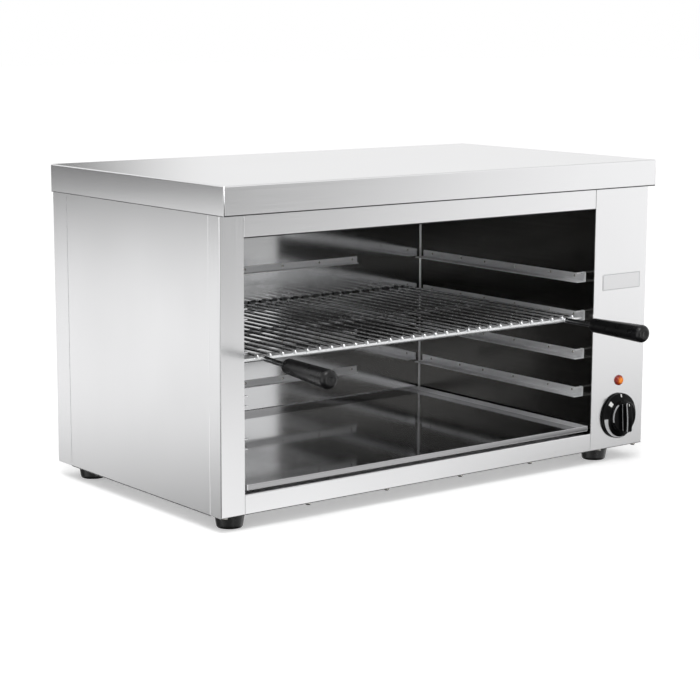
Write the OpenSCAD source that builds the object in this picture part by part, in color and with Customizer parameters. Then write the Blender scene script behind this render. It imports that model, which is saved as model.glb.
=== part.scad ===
// Countertop cheese melter: a stainless steel cabinet, open at the front, with tubular heating
// elements under its ceiling, a wire rack on runners at four levels, a crumb tray on the floor
// and a control compartment at the right. Millimetres, +Z up, front towards -Y. The origin lies
// on the worktop, under the middle of the whole object's box.

/* [Cover] */
// Width of the top cover, which is the overall width
cover_w = 600; // [560:10:680]
// Depth of the top cover, front to back
cover_d = 338; // [330:2:400]
// Height of the cover's folded skirt
cover_skirt = 30.4; // [24:0.2:34]
// How far the cover stands out in front of the front panels
cover_overhang = 10; // [6:1:16]
// Clearance between the cover's skirt and the casing inside it
cover_fit = 0.3; // [0.2:0.1:0.6]

/* [Casing] */
// Height from the underside of the casing to the top of the cover
body_h = 334; // [326:2:400]
// Thickness of the stainless steel sheet
sheet = 1; // [0.8:0.1:1.2]
// Open seam between two neighbouring panels
seam = 0.4; // [0.2:0.1:0.8]
// Face width of the post at the front left corner
post_w = 30; // [30:1:40]
// Face width of the control panel at the right
control_w = 85; // [80:1:110]
// Height of the low rail under the crumb tray
rail_h = 21; // [18:0.5:22]
// Height of the top fascia that shows below the cover's skirt
fascia_h = 23.6; // [18:0.2:26]
// Depth of the side flanges of the post and of the control panel
flange_d = 19.5; // [16:0.5:24]
// Depth of the rear panel's wrap round each side
rear_wrap = 31; // [24:1:40]
// Width of the hidden folded returns
fold = 12; // [8:1:14]
// Width of the side panels' hem under the base
hem = 6; // [4:0.5:7]

/* [Cavity] */
// Depth of the cavity, from the front panels' faces to the back wall
cavity_d = 309; // [295:1:310]
// Height of the cavity floor above the casing's underside
floor_z = 24.5; // [24:0.5:28]
// Distance from the cavity's ceiling up to the cover's top
ceiling_gap = 31; // [26:1:36]

/* [Runners] */
// Number of rack levels
levels = 4; // [3:1:4]
// Height of the lowest runner's shelf above the casing's underside
first_level = 64.2; // [50:0.2:66]
// Distance between two levels
level_pitch = 44.35; // [40:0.05:45]
// Width of a side runner's shelf
shelf_w = 14; // [12:0.5:16]
// Height of a side runner's web
web_h = 8.9; // [8:0.1:10]
// Height of the keeper loop at a side runner's front end
keeper_h = 11.5; // [11:0.1:13]
// Length of the keeper loop
keeper_len = 5; // [3:0.5:8]
// Distance from the front panels' faces to a side runner's front end
runner_front = 14; // [12:0.5:20]
// Distance from a side runner's back end to the back wall
runner_back = 7; // [5:0.5:20]
// Length of the strips on the back wall
strip_len = 281; // [240:1:320]
// Height of the lowest back strip above the casing's underside
first_strip = 58.5; // [50:0.5:62]
// Distance between two back strips
strip_pitch = 45.5; // [40:0.5:46]
// Height of the strips on the back wall
strip_h = 8.6; // [8:0.1:12]
// Depth of the folded lip along the bottom of a back strip
strip_lip = 4; // [3:0.5:6]
// Diameter of the rivets' heads
rivet_d = 3; // [2.4:0.1:4]

/* [Rack] */
// Level that the rack lies on, counted from the floor
rack_level = 3; // [1:1:4]
// Number of wires, an odd number
wire_count = 29; // [25:2:29]
// Diameter of the rack's wires
wire_d = 3; // [2.6:0.1:3.2]
// Distance between two wires
wire_pitch = 15.64; // [15.2:0.02:15.8]
// Diameter of the rack's cross rods
rod_d = 5; // [4:0.1:6]
// Gap between a cross rod's end and the cavity's side wall
rod_end_gap = 7; // [5:0.5:9]
// Distance from the front panels' faces to the front cross rod
rod_front = 13; // [10:0.5:14]
// Distance between the two rods of a pair
rod_pair = 13; // [10:0.5:16]
// Distance from the back wall to the rear cross rod
rod_back = 10; // [9:0.5:14]
// Diameter of the two handle rods
handle_rod_d = 5.6; // [4:0.1:7]
// Distance between the two handle rods at the front cross rod
handle_spacing = 419; // [360:1:440]
// Angle by which the left handle points outwards
left_splay = 4.5; // [0:0.5:6]
// Angle by which the left handle points down
left_droop = 1.2; // [0:0.2:2]
// Distance from the front panels' faces to the grips
grip_start = 33; // [26:1:40]
// Length of a grip
grip_len = 80; // [70:1:100]
// Diameter of a grip at the rack's end
grip_back_d = 16; // [14:0.5:18]
// Diameter of a grip at its free end
grip_front_d = 19.6; // [17:0.2:24]

/* [Crumb tray] */
// Gap between the tray and each side wall
tray_gap = 3.6; // [2:0.2:6]
// Gap between the tray's rear rim and the back wall
tray_rear_gap = 1.5; // [1:0.5:6]
// Height of the tray's turned-up rim
tray_rim = 6; // [5.6:0.2:8]
// How far the tray's front lies behind the front panels' faces
tray_inset = 1; // [0:0.5:3]

/* [Heating elements] */
// Diameter of the tubular heating elements
element_d = 7; // [6:0.2:8.4]
// Distance from the ceiling down to the elements' axis
element_drop = 13; // [12:0.5:15]
// Distance between the two legs of one element
element_bend = 66; // [50:2:72]
// Distance from the front panels' faces to the first leg
element_front_y = 58; // [50:1:64]
// Distance between the two elements' middles
element_pitch = 122; // [118:1:126]
// Gap between the elements' bends and the left wall
element_side_gap = 26; // [20:1:40]

/* [Controls] */
// Distance from the cover's right end to the knob's axis
knob_inset = 41.5; // [40:0.5:44]
// Height of the knob's axis above the casing's underside
knob_z = 37.5; // [34:0.5:44]
// Diameter of the knob's skirt
knob_d = 53; // [46:1:58]
// How far the knob stands out from the panel
knob_h = 20; // [18:0.5:26]
// Diameter of the regulator's spindle
spindle_d = 6; // [5:0.5:6]
// Height of the pilot lamp above the knob's axis
lamp_rise = 41.7; // [36:0.5:60]
// Diameter of the pilot lamp's lens
lamp_d = 10.6; // [8:0.2:14]
// Width of the bare name plate
plate_w = 60; // [40:1:66]
// Height of the bare name plate
plate_h = 19; // [12:1:24]
// Height of the plate's middle above the casing's underside
plate_z = 195.5; // [150:0.5:230]

/* [Feet and lead entry] */
// Height of the rubber feet
foot_h = 16; // [12:0.5:20]
// Diameter of a foot at its top
foot_top_d = 32.4; // [28:0.2:33]
// Diameter of a foot at the worktop
foot_base_d = 27.2; // [24:0.2:28]
// Distance from the casing's left side to the left feet
foot_left = 26.1; // [24:0.1:30]
// Distance from the casing's right side to the right feet
foot_right = 54.5; // [40:0.5:56]
// Distance from the front faces, and from the casing's back, to the feet
foot_inset = 24; // [22:0.5:28]
// Diameter of the hole through the lead's gland
gland_bore = 9; // [6:0.5:10]
// How far the gland stands out behind the cover
gland_out = 18; // [16:0.5:24]
// Height of the gland above the casing's underside
gland_z = 46; // [40:1:60]

/* [Hidden] */
$fn = 48;

// Colours
brushed_c = [0.82, 0.83, 0.84];
polished_c = [0.42, 0.43, 0.45];
chrome_c = [0.86, 0.87, 0.89];
black_c = [0.06, 0.06, 0.065];
dark_c = [0.14, 0.14, 0.15];
brass_c = [0.78, 0.62, 0.32];
ceramic_c = [0.93, 0.91, 0.86];
white_c = [0.95, 0.95, 0.95];
orange_c = [0.95, 0.28, 0.05];

// Casing: outer planes of the panels
half_w = cover_w / 2;
case_x = half_w - sheet - cover_fit;
handle_out = grip_start + grip_len - cover_overhang;
y_cover = -(cover_d + gland_out - handle_out) / 2;
y_face = y_cover + cover_overhang;
y_rear = y_cover + cover_d - sheet - cover_fit;
z_case = foot_h;
z_lid = z_case + body_h;
z_under = z_lid - sheet;
z_skirt = z_lid - cover_skirt;
z_fascia = z_skirt - fascia_h;
y_flange = y_face + flange_d;
y_wrap = y_cover + cover_d - rear_wrap;

// Cavity: inner planes of its walls
x_left = -half_w + post_w;
x_right = half_w - control_w;
x_mid = (x_left + x_right) / 2;
y_wall = y_face + cavity_d;
z_floor = z_case + floor_z;
z_ceiling = z_lid - ceiling_gap;

// Runners, strips and rivets
y_runner = y_face + runner_front;
y_runner_end = y_wall - runner_back;
runner_len = y_runner_end - y_runner;
rivet_r = rivet_d / 2;
rivet_h = 0.7;
rivet_shares = [0.06, 0.2, 0.41, 0.6, 0.75, 0.94];
function shelf_z(level) = z_case + first_level + (level - 1) * level_pitch;
function strip_z(level) = z_case + first_strip + (level - 1) * strip_pitch;

// Rack, seated on the shelves of its level
rod_r = rod_d / 2;
wire_r = wire_d / 2;
handle_r = handle_rod_d / 2;
z_rod = shelf_z(rack_level) + rod_r;
z_wire = z_rod + rod_r + wire_r;
y_rod_1 = y_face + rod_front;
y_rod_5 = y_wall - rod_back;
rod_ys = [y_rod_1, y_rod_1 + rod_pair, (y_rod_1 + y_rod_5) / 2, y_rod_5 - rod_pair, y_rod_5];
rod_half = (x_right - x_left) / 2 - rod_end_gap;
nub_side = rod_r + wire_r - 1;
nub_drop = rod_r + wire_r - sqrt(pow(rod_r, 2) - pow(nub_side - wire_r, 2));
y_grip = y_face - grip_start;
grip_hold = 0.6 * grip_len;
handle_rod_len = y_rod_1 - y_grip + grip_hold;
handle_cope = 0.5;
grip_fit = 0.05;

// Heating elements
element_r = element_d / 2;
z_element = z_ceiling - element_drop;
element_ys = [y_face + element_front_y, y_face + element_front_y + element_pitch];
x_bend = x_left + element_side_gap + element_bend / 2;
bush_r = element_r + 3;
bush_fit = 0.05;
bush_flange_r = element_r + 5;
bush_flange = 3;
bush_tail = 9;
cold_end = 14;
insulator_len = 9;
pin_r = 2;
pin_len = 10;
spade_len = 3;
leg_ys = [for (y = element_ys) for (dy = [0, element_bend]) y + dy];

// Controls
x_knob = half_w - knob_inset;
z_knob = z_case + knob_z;
z_lamp = z_knob + lamp_rise;
y_back = y_face + sheet;
spindle_r = spindle_d / 2;
spindle_fit = 0.05;
regulator_bush_r = 5;
regulator_nut_r = 8;
regulator_nut_h = 2.5;
regulator_bush_h = 5;
regulator_w = 36;
regulator_deep = 34;
spade_t = 0.8;
spade_y = y_back + regulator_deep + 8;
knob_r = knob_d / 2;
knob_gap = 1;
knob_rim = 2.5;
knob_cone = 6.5;
knob_boss_r = knob_r - 8;
knob_boss = 12;
knob_bar_w = 8.5;
knob_wall = 2;
mark_t = 0.2;
lamp_r = lamp_d / 2;
lamp_body_r = lamp_r - 0.6;
lamp_bezel = 1.2;
lamp_body_len = 22;
lamp_tag = 7;
lamp_tag_x = 2.4;
y_lamp_tag = y_face + lamp_body_len + lamp_tag;
plate_t = 0.4;

// Control compartment
wire_run_r = 1.3;
lamp_wire_r = 0.8;
block_size = [38, 22, 17];
block_inset = 70;
y_block = y_rear - block_inset;
z_block = z_case + sheet;
y_block_wire = y_block + 6;
pole_pitch = 10;
pole_r = 2.4;
pole_screw_r = 2;
pole_xs = [for (i = [-1, 0, 1]) x_knob + i * pole_pitch];
z_pole = z_block + 8;
stud_r = 2.5;
stud_h = 12;
stud_at = [x_knob - 24, y_rear - 48, z_block];
x_lug = x_right + sheet + cold_end + insulator_len + pin_len - spade_len / 2;

// Feet, screws and gland
foot_xs = [-case_x + foot_left, case_x - foot_right];
foot_ys = [y_face + foot_inset, y_rear - foot_inset - 8];
foot_bolt_r = 2.5;
foot_bolt_end = 5;
foot_head_r = 4.5;
foot_head_h = 3;
foot_nut_r = 4.3;
foot_nut_h = 4;
foot_nut_room = 1.5;
foot_recess_r = 6;
foot_recess = 8;
screw_r = 1.9;
screw_head_r = 3.2;
screw_head_h = 2.6;
screw_fit = 0.1;
base_screw_y = y_face + 4.6;
rail_screw_shares = [0.17, 0.385, 0.599, 0.813];
post_screw_xs = [-case_x + 7];
rail_screw_xs = [for (s = rail_screw_shares) x_left + s * (x_right - x_left)];
panel_screw_xs = [x_right + 17.5, case_x - 9.6];
base_screw_xs = concat(post_screw_xs, rail_screw_xs, panel_screw_xs);
rear_screw_x = case_x - 8;
rear_screw_zs = [z_case + 20, z_case + body_h / 2, z_lid - 50];
gland_r = 8;
gland_flange = 5;
x_gland = x_knob;
z_gland = z_case + gland_z;
gland_end = y_cover + cover_d + gland_out;

// Vent slots in the rear panel and in the base
vent_count = 5;
vent_w = 44;
vent_h = 4;
vent_pitch = 10;
z_vent = z_lid - 110;
y_vent = y_face + 90;

// A block between two corners
module slab(lo, hi) {
    translate(lo) cube(hi - lo);
}

// A round bar along Y from y0 to y1
module bar_y(x, z, y0, y1, r) {
    translate([x, y0, z]) rotate([-90, 0, 0]) cylinder(h = y1 - y0, r = r);
}

// A round bar along X from x0 to x1
module bar_x(y, z, x0, x1, r) {
    translate([x0, y, z]) rotate([0, 90, 0]) cylinder(h = x1 - x0, r = r);
}

// A round bar from point a to point b
module bar(a, b, r) {
    d = b - a;
    len = norm(d);
    turn = [0, acos(d[2] / len), atan2(d[1], d[0])];
    translate(a) rotate(turn) cylinder(h = len, r = r);
}

// A wire through a list of points, with round bends
module run(points, r) {
    for (i = [0:len(points) - 2]) bar(points[i], points[i + 1], r);
    for (i = [1:len(points) - 2]) translate(points[i]) sphere(r = r, $fn = 24);
}

// Casing ---------------------------------------------------------------------------------------

module top_cover() {
    back = y_cover + cover_d;
    color(brushed_c) {
        difference() {
            slab([-half_w, y_cover, z_skirt], [half_w, back, z_lid]);
            slab([-half_w + sheet, y_cover + sheet, z_skirt - 1],
                 [half_w - sheet, back - sheet, z_under]);
        }
        slab([-half_w + sheet, y_cover + sheet, z_skirt],
             [half_w - sheet, y_face - cover_fit, z_skirt + sheet]);
    }
}

// Side panel: a face with a return under the cover and a hem under the base
module side_panel(side) {
    front = y_flange + seam;
    back = y_wrap - seam;
    color(brushed_c) mirror([side < 0 ? 1 : 0, 0, 0]) {
        slab([case_x - sheet, front, z_case - sheet], [case_x, back, z_under]);
        slab([case_x - fold, front, z_under - sheet], [case_x, back, z_under]);
        slab([case_x - hem, front, z_case - sheet], [case_x, back, z_case]);
    }
}

module left_side_panel() side_panel(-1);
module right_side_panel() side_panel(1);

module front_left_post() {
    color(brushed_c) {
        slab([-case_x, y_face, z_case], [x_left, y_back, z_under]);
        slab([-case_x, y_face, z_case], [-case_x + sheet, y_flange, z_under]);
        slab([x_left - 2 * sheet, y_face, z_case + sheet],
             [x_left - sheet, y_face + fold, z_ceiling]);
        difference() {
            slab([-case_x, y_face, z_case + sheet], [x_left - sheet, y_face + fold, z_case + 2 * sheet]);
            base_screw_holes(post_screw_xs);
        }
    }
}

module control_panel() {
    color(brushed_c) difference() {
        union() {
            slab([x_right, y_face, z_case], [case_x, y_back, z_under]);
            slab([case_x - sheet, y_face, z_case], [case_x, y_flange, z_under]);
            slab([x_right + sheet, y_face, z_case + sheet],
                 [x_right + 2 * sheet, y_face + fold, z_ceiling]);
            slab([x_right + sheet, y_face, z_case + sheet],
                 [case_x, y_face + fold, z_case + 2 * sheet]);
        }
        bar_y(x_knob, z_knob, y_face - 1, y_back + 1, regulator_bush_r + screw_fit);
        bar_y(x_knob, z_lamp, y_face - 1, y_back + 1, lamp_body_r + screw_fit);
        base_screw_holes(panel_screw_xs);
    }
}

// Holes for the screws that come up through the base
module base_screw_holes(xs) {
    for (x = xs) translate([x, base_screw_y, z_case - 1])
        cylinder(h = 3 * sheet + 2, r = screw_r + screw_fit);
}

module top_fascia() {
    x0 = x_left + seam;
    x1 = x_right - seam;
    color(brushed_c) {
        slab([x0, y_face, z_fascia], [x1, y_back, z_under]);
        slab([x0, y_face, z_fascia], [x1, y_face + fold, z_fascia + sheet]);
        slab([x0, y_face, z_under - sheet], [x1, y_face + fold, z_under]);
    }
}

module front_rail() {
    x0 = x_left + seam;
    x1 = x_right - seam;
    top = z_case + rail_h;
    color(brushed_c) difference() {
        union() {
            slab([x0, y_face, z_case], [x1, y_back, top]);
            slab([x0, y_face, top - sheet], [x1, y_face + fold, top]);
            slab([x0, y_face, z_case + sheet], [x1, y_face + fold, z_case + 2 * sheet]);
        }
        base_screw_holes(rail_screw_xs);
    }
}

// Vent slots through the rear panel, above one another
module rear_vents() {
    for (i = [0:vent_count - 1]) translate([x_knob - vent_w / 2, y_rear - 2 * sheet, z_vent + i * vent_pitch])
        cube([vent_w, 3 * sheet, vent_h]);
}

// Vent slots through the base, one behind another
module base_vents() {
    for (i = [0:vent_count - 1]) translate([x_knob - vent_w / 2, y_vent + i * vent_pitch, z_case - sheet])
        cube([vent_w, vent_h, 3 * sheet]);
}

module rear_panel() {
    color(brushed_c) difference() {
        union() {
            slab([-case_x, y_rear - sheet, z_case], [case_x, y_rear, z_under]);
            for (side = [0, 1]) mirror([side, 0, 0])
                slab([case_x - sheet, y_wrap, z_case], [case_x, y_rear, z_under]);
            slab([-case_x + sheet, y_rear - fold, z_case + sheet],
                 [case_x - sheet, y_rear - sheet, z_case + 2 * sheet]);
        }
        rear_vents();
        bar_y(x_gland, z_gland, y_rear - 2 * sheet, y_rear + 1, gland_r + screw_fit);
        for (x = [-rear_screw_x, rear_screw_x], z = rear_screw_zs)
            bar_y(x, z, y_rear - 2 * sheet, y_rear + 1, screw_r + screw_fit);
    }
}

module base_panel() {
    x1 = case_x - sheet - cover_fit;
    color(brushed_c) difference() {
        slab([-x1, y_back, z_case], [x1, y_rear - sheet, z_case + sheet]);
        for (x = foot_xs, y = foot_ys) translate([x, y, z_case - 1])
            cylinder(h = sheet + 2, r = foot_bolt_r + screw_fit);
        base_screw_holes(base_screw_xs);
        translate([stud_at[0], stud_at[1], z_case - 1]) cylinder(h = sheet + 2, r = stud_r + screw_fit);
        base_vents();
    }
}

// Cavity ---------------------------------------------------------------------------------------

// Room for the nuts of the feet where a panel stands on the base
module foot_nut_notches() {
    for (x = foot_xs, y = foot_ys) translate([x, y, z_case])
        cylinder(h = sheet + foot_bolt_end + foot_nut_room, r = foot_nut_r + foot_nut_room);
}

// Side wall of the cavity, with a return at its top that carries the ceiling
module cavity_side(x, out) {
    x0 = out < 0 ? x - sheet : x;
    r0 = out < 0 ? x - fold : x;
    slab([x0, y_back, z_case + sheet], [x0 + sheet, y_wall, z_ceiling]);
    slab([r0, y_face + fold + seam, z_ceiling - sheet], [r0 + fold, y_wall, z_ceiling]);
}

module cavity_left_wall() {
    color(polished_c) difference() {
        cavity_side(x_left, -1);
        for (level = [1:levels]) side_rivet_holes(x_left, level);
        foot_nut_notches();
    }
}

module cavity_right_wall() {
    color(polished_c) difference() {
        cavity_side(x_right, 1);
        for (level = [1:levels]) side_rivet_holes(x_right, level);
        for (y = leg_ys) bar_x(y, z_element, x_right - 1, x_right + sheet + 1, bush_r + screw_fit);
    }
}

module cavity_back_wall() {
    color(polished_c) difference() {
        union() {
            slab([x_left - sheet, y_wall, z_case + sheet],
                 [x_right + sheet, y_wall + sheet, z_ceiling]);
            slab([x_left, y_wall, z_ceiling - sheet],
                 [x_right, y_rear - sheet, z_ceiling]);
        }
        for (level = [1:levels]) strip_rivets(level, rivet_r / 2, 2 * sheet, 0);
    }
}

module cavity_ceiling() {
    color(polished_c) slab([x_left - fold, y_back, z_ceiling],
                           [x_right + fold, y_rear - sheet, z_ceiling + sheet]);
}

// The floor stands on the base with a turned-down leg at each side and at the back
module cavity_floor() {
    x0 = x_left + seam;
    x1 = x_right - seam;
    y0 = y_face + 20;
    color(polished_c) difference() {
        union() {
            slab([x0, y0, z_floor - sheet], [x1, y_wall - seam, z_floor]);
            slab([x0, y0, z_case + sheet], [x0 + sheet, y_wall - seam, z_floor]);
            slab([x1 - sheet, y0, z_case + sheet], [x1, y_wall - seam, z_floor]);
            slab([x0, y_wall - seam - sheet, z_case + sheet], [x1, y_wall - seam, z_floor]);
        }
        foot_nut_notches();
    }
}

// Runners --------------------------------------------------------------------------------------

// Places along Y of the rivets in a side runner
rivet_ys = [for (s = rivet_shares) y_runner + s * runner_len];
// Places along X of the rivets in a back strip
strip_half = strip_len / 2;
strip_rivet_xs = [for (s = [-0.945, -0.585, -0.195, 0.195, 0.585, 0.945]) x_mid + s * strip_half];

module side_rivet_holes(x, level) {
    z = shelf_z(level) + web_h / 2;
    for (y = rivet_ys) bar_x(y, z, x - 2 * sheet, x + 2 * sheet, rivet_r / 2);
}

// Side runner on the wall at x: a web, a shelf below it and a keeper loop at the front end
module side_runner(x, into, level) {
    z = shelf_z(level);
    color(brushed_c) translate([x, 0, 0]) mirror([into < 0 ? 1 : 0, 0, 0]) difference() {
        union() {
            slab([0, y_runner, z - sheet], [sheet, y_runner_end, z + web_h - sheet]);
            slab([0, y_runner, z - sheet], [shelf_w, y_runner_end, z]);
            slab([0, y_runner, z - sheet], [sheet, y_runner + keeper_len, z + keeper_h - sheet]);
            slab([0, y_runner, z + keeper_h - 2 * sheet],
                 [shelf_w, y_runner + keeper_len - 2, z + keeper_h - sheet]);
        }
        side_rivet_holes(0, level);
    }
}

module left_runner(level) {
    if (level <= levels) side_runner(x_left, 1, level);
}

module right_runner(level) {
    if (level <= levels) side_runner(x_right, -1, level);
}

// Rivets of one back strip: a shank or a hole of radius r and depth deep, and a head at its front
module strip_rivets(level, r, deep, head) {
    z = strip_z(level) + strip_h * 0.6;
    for (x = strip_rivet_xs) {
        bar_y(x, z, y_wall - sheet, y_wall - sheet + deep, r);
        if (head > 0) bar_y(x, z, y_wall - sheet - head, y_wall - sheet, rivet_r);
    }
}

module back_strips() {
    color(brushed_c) for (level = [1:levels]) difference() {
        z = strip_z(level);
        union() {
            slab([x_mid - strip_half, y_wall - sheet, z], [x_mid + strip_half, y_wall, z + strip_h]);
            slab([x_mid - strip_half, y_wall - strip_lip, z],
                 [x_mid + strip_half, y_wall, z + sheet]);
        }
        strip_rivets(level, rivet_r / 2, 2 * sheet, 0);
    }
}

module runner_rivets() {
    z_up = web_h / 2;
    color(chrome_c) for (level = [1:levels]) {
        for (y = rivet_ys) {
            bar_x(y, shelf_z(level) + z_up, x_left - sheet, x_left + sheet, rivet_r / 2);
            bar_x(y, shelf_z(level) + z_up, x_left + sheet, x_left + sheet + rivet_h, rivet_r);
            bar_x(y, shelf_z(level) + z_up, x_right - sheet, x_right + sheet, rivet_r / 2);
            bar_x(y, shelf_z(level) + z_up, x_right - sheet - rivet_h, x_right - sheet, rivet_r);
        }
        strip_rivets(level, rivet_r / 2, 2 * sheet, rivet_h);
    }
}

// Heating elements -----------------------------------------------------------------------------

// A hairpin element whose first leg lies at y
module element(y) {
    x_end = x_right + sheet + cold_end;
    color(dark_c) {
        for (dy = [0, element_bend]) bar_x(y + dy, z_element, x_bend, x_end, element_r);
        translate([x_bend, y + element_bend / 2, z_element]) rotate([0, 0, 90])
            rotate_extrude(angle = 180) translate([element_bend / 2, 0]) circle(r = element_r);
    }
}

module front_element() element(element_ys[0]);
module rear_element() element(element_ys[1]);

module element_bushes() {
    color(brass_c) for (y = leg_ys) difference() {
        union() {
            bar_x(y, z_element, x_right - bush_flange, x_right, bush_flange_r);
            bar_x(y, z_element, x_right, x_right + sheet + bush_tail, bush_r);
            translate([x_right + sheet, y, z_element]) rotate([0, 90, 0])
                cylinder(h = 5, r = bush_flange_r + 1, $fn = 6);
        }
        bar_x(y, z_element, x_right - bush_flange - 1, x_right + sheet + bush_tail + 1,
              element_r + bush_fit);
    }
}

module element_insulators() {
    x0 = x_right + sheet + cold_end;
    color(ceramic_c) for (y = leg_ys) difference() {
        bar_x(y, z_element, x0, x0 + insulator_len, element_r + 0.8);
        bar_x(y, z_element, x0 - 1, x0 + insulator_len + 1, pin_r + bush_fit);
    }
}

module element_terminals() {
    x0 = x_right + sheet + cold_end;
    x1 = x0 + insulator_len + pin_len;
    color(chrome_c) for (y = leg_ys) {
        bar_x(y, z_element, x0, x1 - spade_len, pin_r);
        slab([x1 - spade_len, y - 4, z_element - spade_t / 2], [x1, y + 4, z_element + spade_t / 2]);
    }
}

// Two plates hang from the ceiling and carry the elements' legs
module element_hangers() {
    span = (x_right - x_bend) / 3;
    color(brushed_c) for (i = [0.4, 2.2]) difference() {
        x = x_bend + i * span;
        union() {
            slab([x, leg_ys[0] - 10, z_element - element_r - 3],
                 [x + sheet, leg_ys[3] + 10, z_ceiling]);
            slab([x, leg_ys[0] - 10, z_ceiling - sheet], [x + fold, leg_ys[3] + 10, z_ceiling]);
        }
        for (y = leg_ys) bar_x(y, z_element, x - 1, x + 2 * sheet + 1, element_r + 0.2);
    }
}

// Controls -------------------------------------------------------------------------------------

module energy_regulator() {
    y0 = y_back;
    half = regulator_w / 2;
    color(dark_c) difference() {
        union() {
            slab([x_knob - half, y0, z_knob - half],
                 [x_knob + half, y0 + regulator_deep, z_knob + half]);
            bar_y(x_knob, z_knob, y_face - regulator_bush_h, y0, regulator_bush_r);
            for (x = pole_xs)
                slab([x - 3, y0 + regulator_deep, z_knob - spade_t / 2],
                     [x + 3, spade_y, z_knob + spade_t / 2]);
        }
        bar_y(x_knob, z_knob, y_face - regulator_bush_h - 1, y0 + 10, spindle_r + spindle_fit);
    }
}

module regulator_nut() {
    color(chrome_c) difference() {
        translate([x_knob, y_face - regulator_nut_h, z_knob]) rotate([-90, 0, 0])
            cylinder(h = regulator_nut_h, r = regulator_nut_r, $fn = 6);
        bar_y(x_knob, z_knob, y_face - regulator_nut_h - 1, y_face + 1, regulator_bush_r + spindle_fit);
    }
}

// The spindle has a flat at its outer end, where the knob grips it
module regulator_spindle() {
    y1 = y_back + 8;
    y0 = y_face - 16;
    color(chrome_c) difference() {
        bar_y(x_knob, z_knob, y0, y1, spindle_r);
        slab([x_knob - spindle_r, y0 - 1, z_knob + spindle_r - 1.2],
             [x_knob + spindle_r, y_face - regulator_bush_h - 1, z_knob + spindle_r + 1]);
    }
}

// Profile of the knob's skirt and boss, as radius against distance from the panel
module knob_profile() {
    polygon([
        [0, knob_gap], [knob_r, knob_gap], [knob_r, knob_gap + knob_rim],
        [knob_boss_r, knob_cone], [knob_boss_r, knob_boss - 1], [knob_boss_r - 1, knob_boss],
        [0, knob_boss]
    ]);
}

module control_knob() {
    color(black_c) translate([x_knob, y_face, z_knob]) rotate([90, 0, 0]) difference() {
        union() {
            rotate_extrude() knob_profile();
            intersection() {
                cylinder(h = knob_h, r = knob_boss_r);
                translate([-knob_bar_w / 2, -knob_boss_r, knob_boss - 1])
                    cube([knob_bar_w, 2 * knob_boss_r, knob_h - knob_boss + 1]);
            }
        }
        difference() {
            cylinder(h = knob_boss - knob_wall, r = knob_boss_r - knob_wall);
            cylinder(h = knob_boss, r = spindle_r + 3);
        }
        cylinder(h = regulator_bush_h + 1.5, r = regulator_nut_r + 1);
        difference() {
            cylinder(h = 16.5, r = spindle_r + spindle_fit);
            translate([-spindle_r - 1, spindle_r - 1.2 + spindle_fit, regulator_bush_h + 1])
                cube([2 * spindle_r + 2, 3, 20]);
        }
    }
}

// White marks on the skirt's cone: a tick at the top, a block and a tapering arc on the left
module knob_marks() {
    lift = (knob_cone - knob_gap - knob_rim) / (knob_r - knob_boss_r);
    r0 = knob_r - 5.4;
    r1 = knob_r - 0.6;
    h0 = knob_gap + knob_rim + (knob_r - r0) * lift;
    h1 = knob_gap + knob_rim + (knob_r - r1) * lift;
    color(white_c) translate([x_knob, y_face, z_knob]) rotate([90, 0, 0]) intersection() {
        rotate_extrude() polygon([[r0, h0], [r1, h1], [r1, h1 + mark_t], [r0, h0 + mark_t]]);
        linear_extrude(knob_h) union() {
            translate([-0.7, r0]) square([1.4, knob_r]);
            rotate(44) translate([-2.8, r0 + 0.2]) square([5.6, 4.2]);
            difference() {
                intersection() {
                    circle(r = r1 - 0.4);
                    translate([-knob_r, -knob_r]) square([knob_r, knob_r - 2]);
                }
                translate([0.6, 0.8]) circle(r = r1 - 3.2);
            }
        }
    }
}

module lamp_lens() {
    color(orange_c) translate([x_knob, y_face, z_lamp]) rotate([90, 0, 0]) rotate_extrude()
        polygon([
            [0, lamp_bezel], [lamp_r, lamp_bezel], [lamp_r, 2.4], [lamp_r * 0.86, 3.5],
            [lamp_r * 0.55, 4.3], [0, 4.6]
        ]);
}

module lamp_body() {
    color(white_c) translate([x_knob, y_face, z_lamp]) rotate([90, 0, 0]) {
        cylinder(h = lamp_bezel, r = lamp_r + 0.7);
        translate([0, 0, -lamp_body_len]) cylinder(h = lamp_body_len, r = lamp_body_r);
        for (side = [-1, 1]) translate([side * lamp_tag_x - 0.4, -1.4, -lamp_body_len - lamp_tag])
            cube([spade_t, 2.8, lamp_tag + 1]);
    }
}

module lamp_nut() {
    color(dark_c) translate([x_knob, y_back + 4, z_lamp]) rotate([90, 0, 0]) difference() {
        cylinder(h = 4, r = lamp_body_r + 3.2, $fn = 6);
        translate([0, 0, -1]) cylinder(h = 6, r = lamp_body_r + spindle_fit);
    }
}

module name_plate() {
    color(white_c) slab([x_knob - plate_w / 2, y_face - plate_t, z_case + plate_z - plate_h / 2],
                        [x_knob + plate_w / 2, y_face, z_case + plate_z + plate_h / 2]);
}

// Control compartment --------------------------------------------------------------------------

module terminal_block() {
    color(ceramic_c) difference() {
        translate([x_knob - block_size[0] / 2, y_block, z_block]) cube(block_size);
        for (x = pole_xs) {
            bar_y(x, z_pole, y_block - 1, y_block + block_size[1] + 1, pole_r);
            translate([x, y_block + block_size[1] / 2, z_pole])
                cylinder(h = block_size[2], r = pole_screw_r + screw_fit);
        }
    }
}

module terminal_screws() {
    color(brass_c) for (x = pole_xs) translate([x, y_block + block_size[1] / 2, z_pole + wire_run_r])
        cylinder(h = 6, r = pole_screw_r);
}

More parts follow.
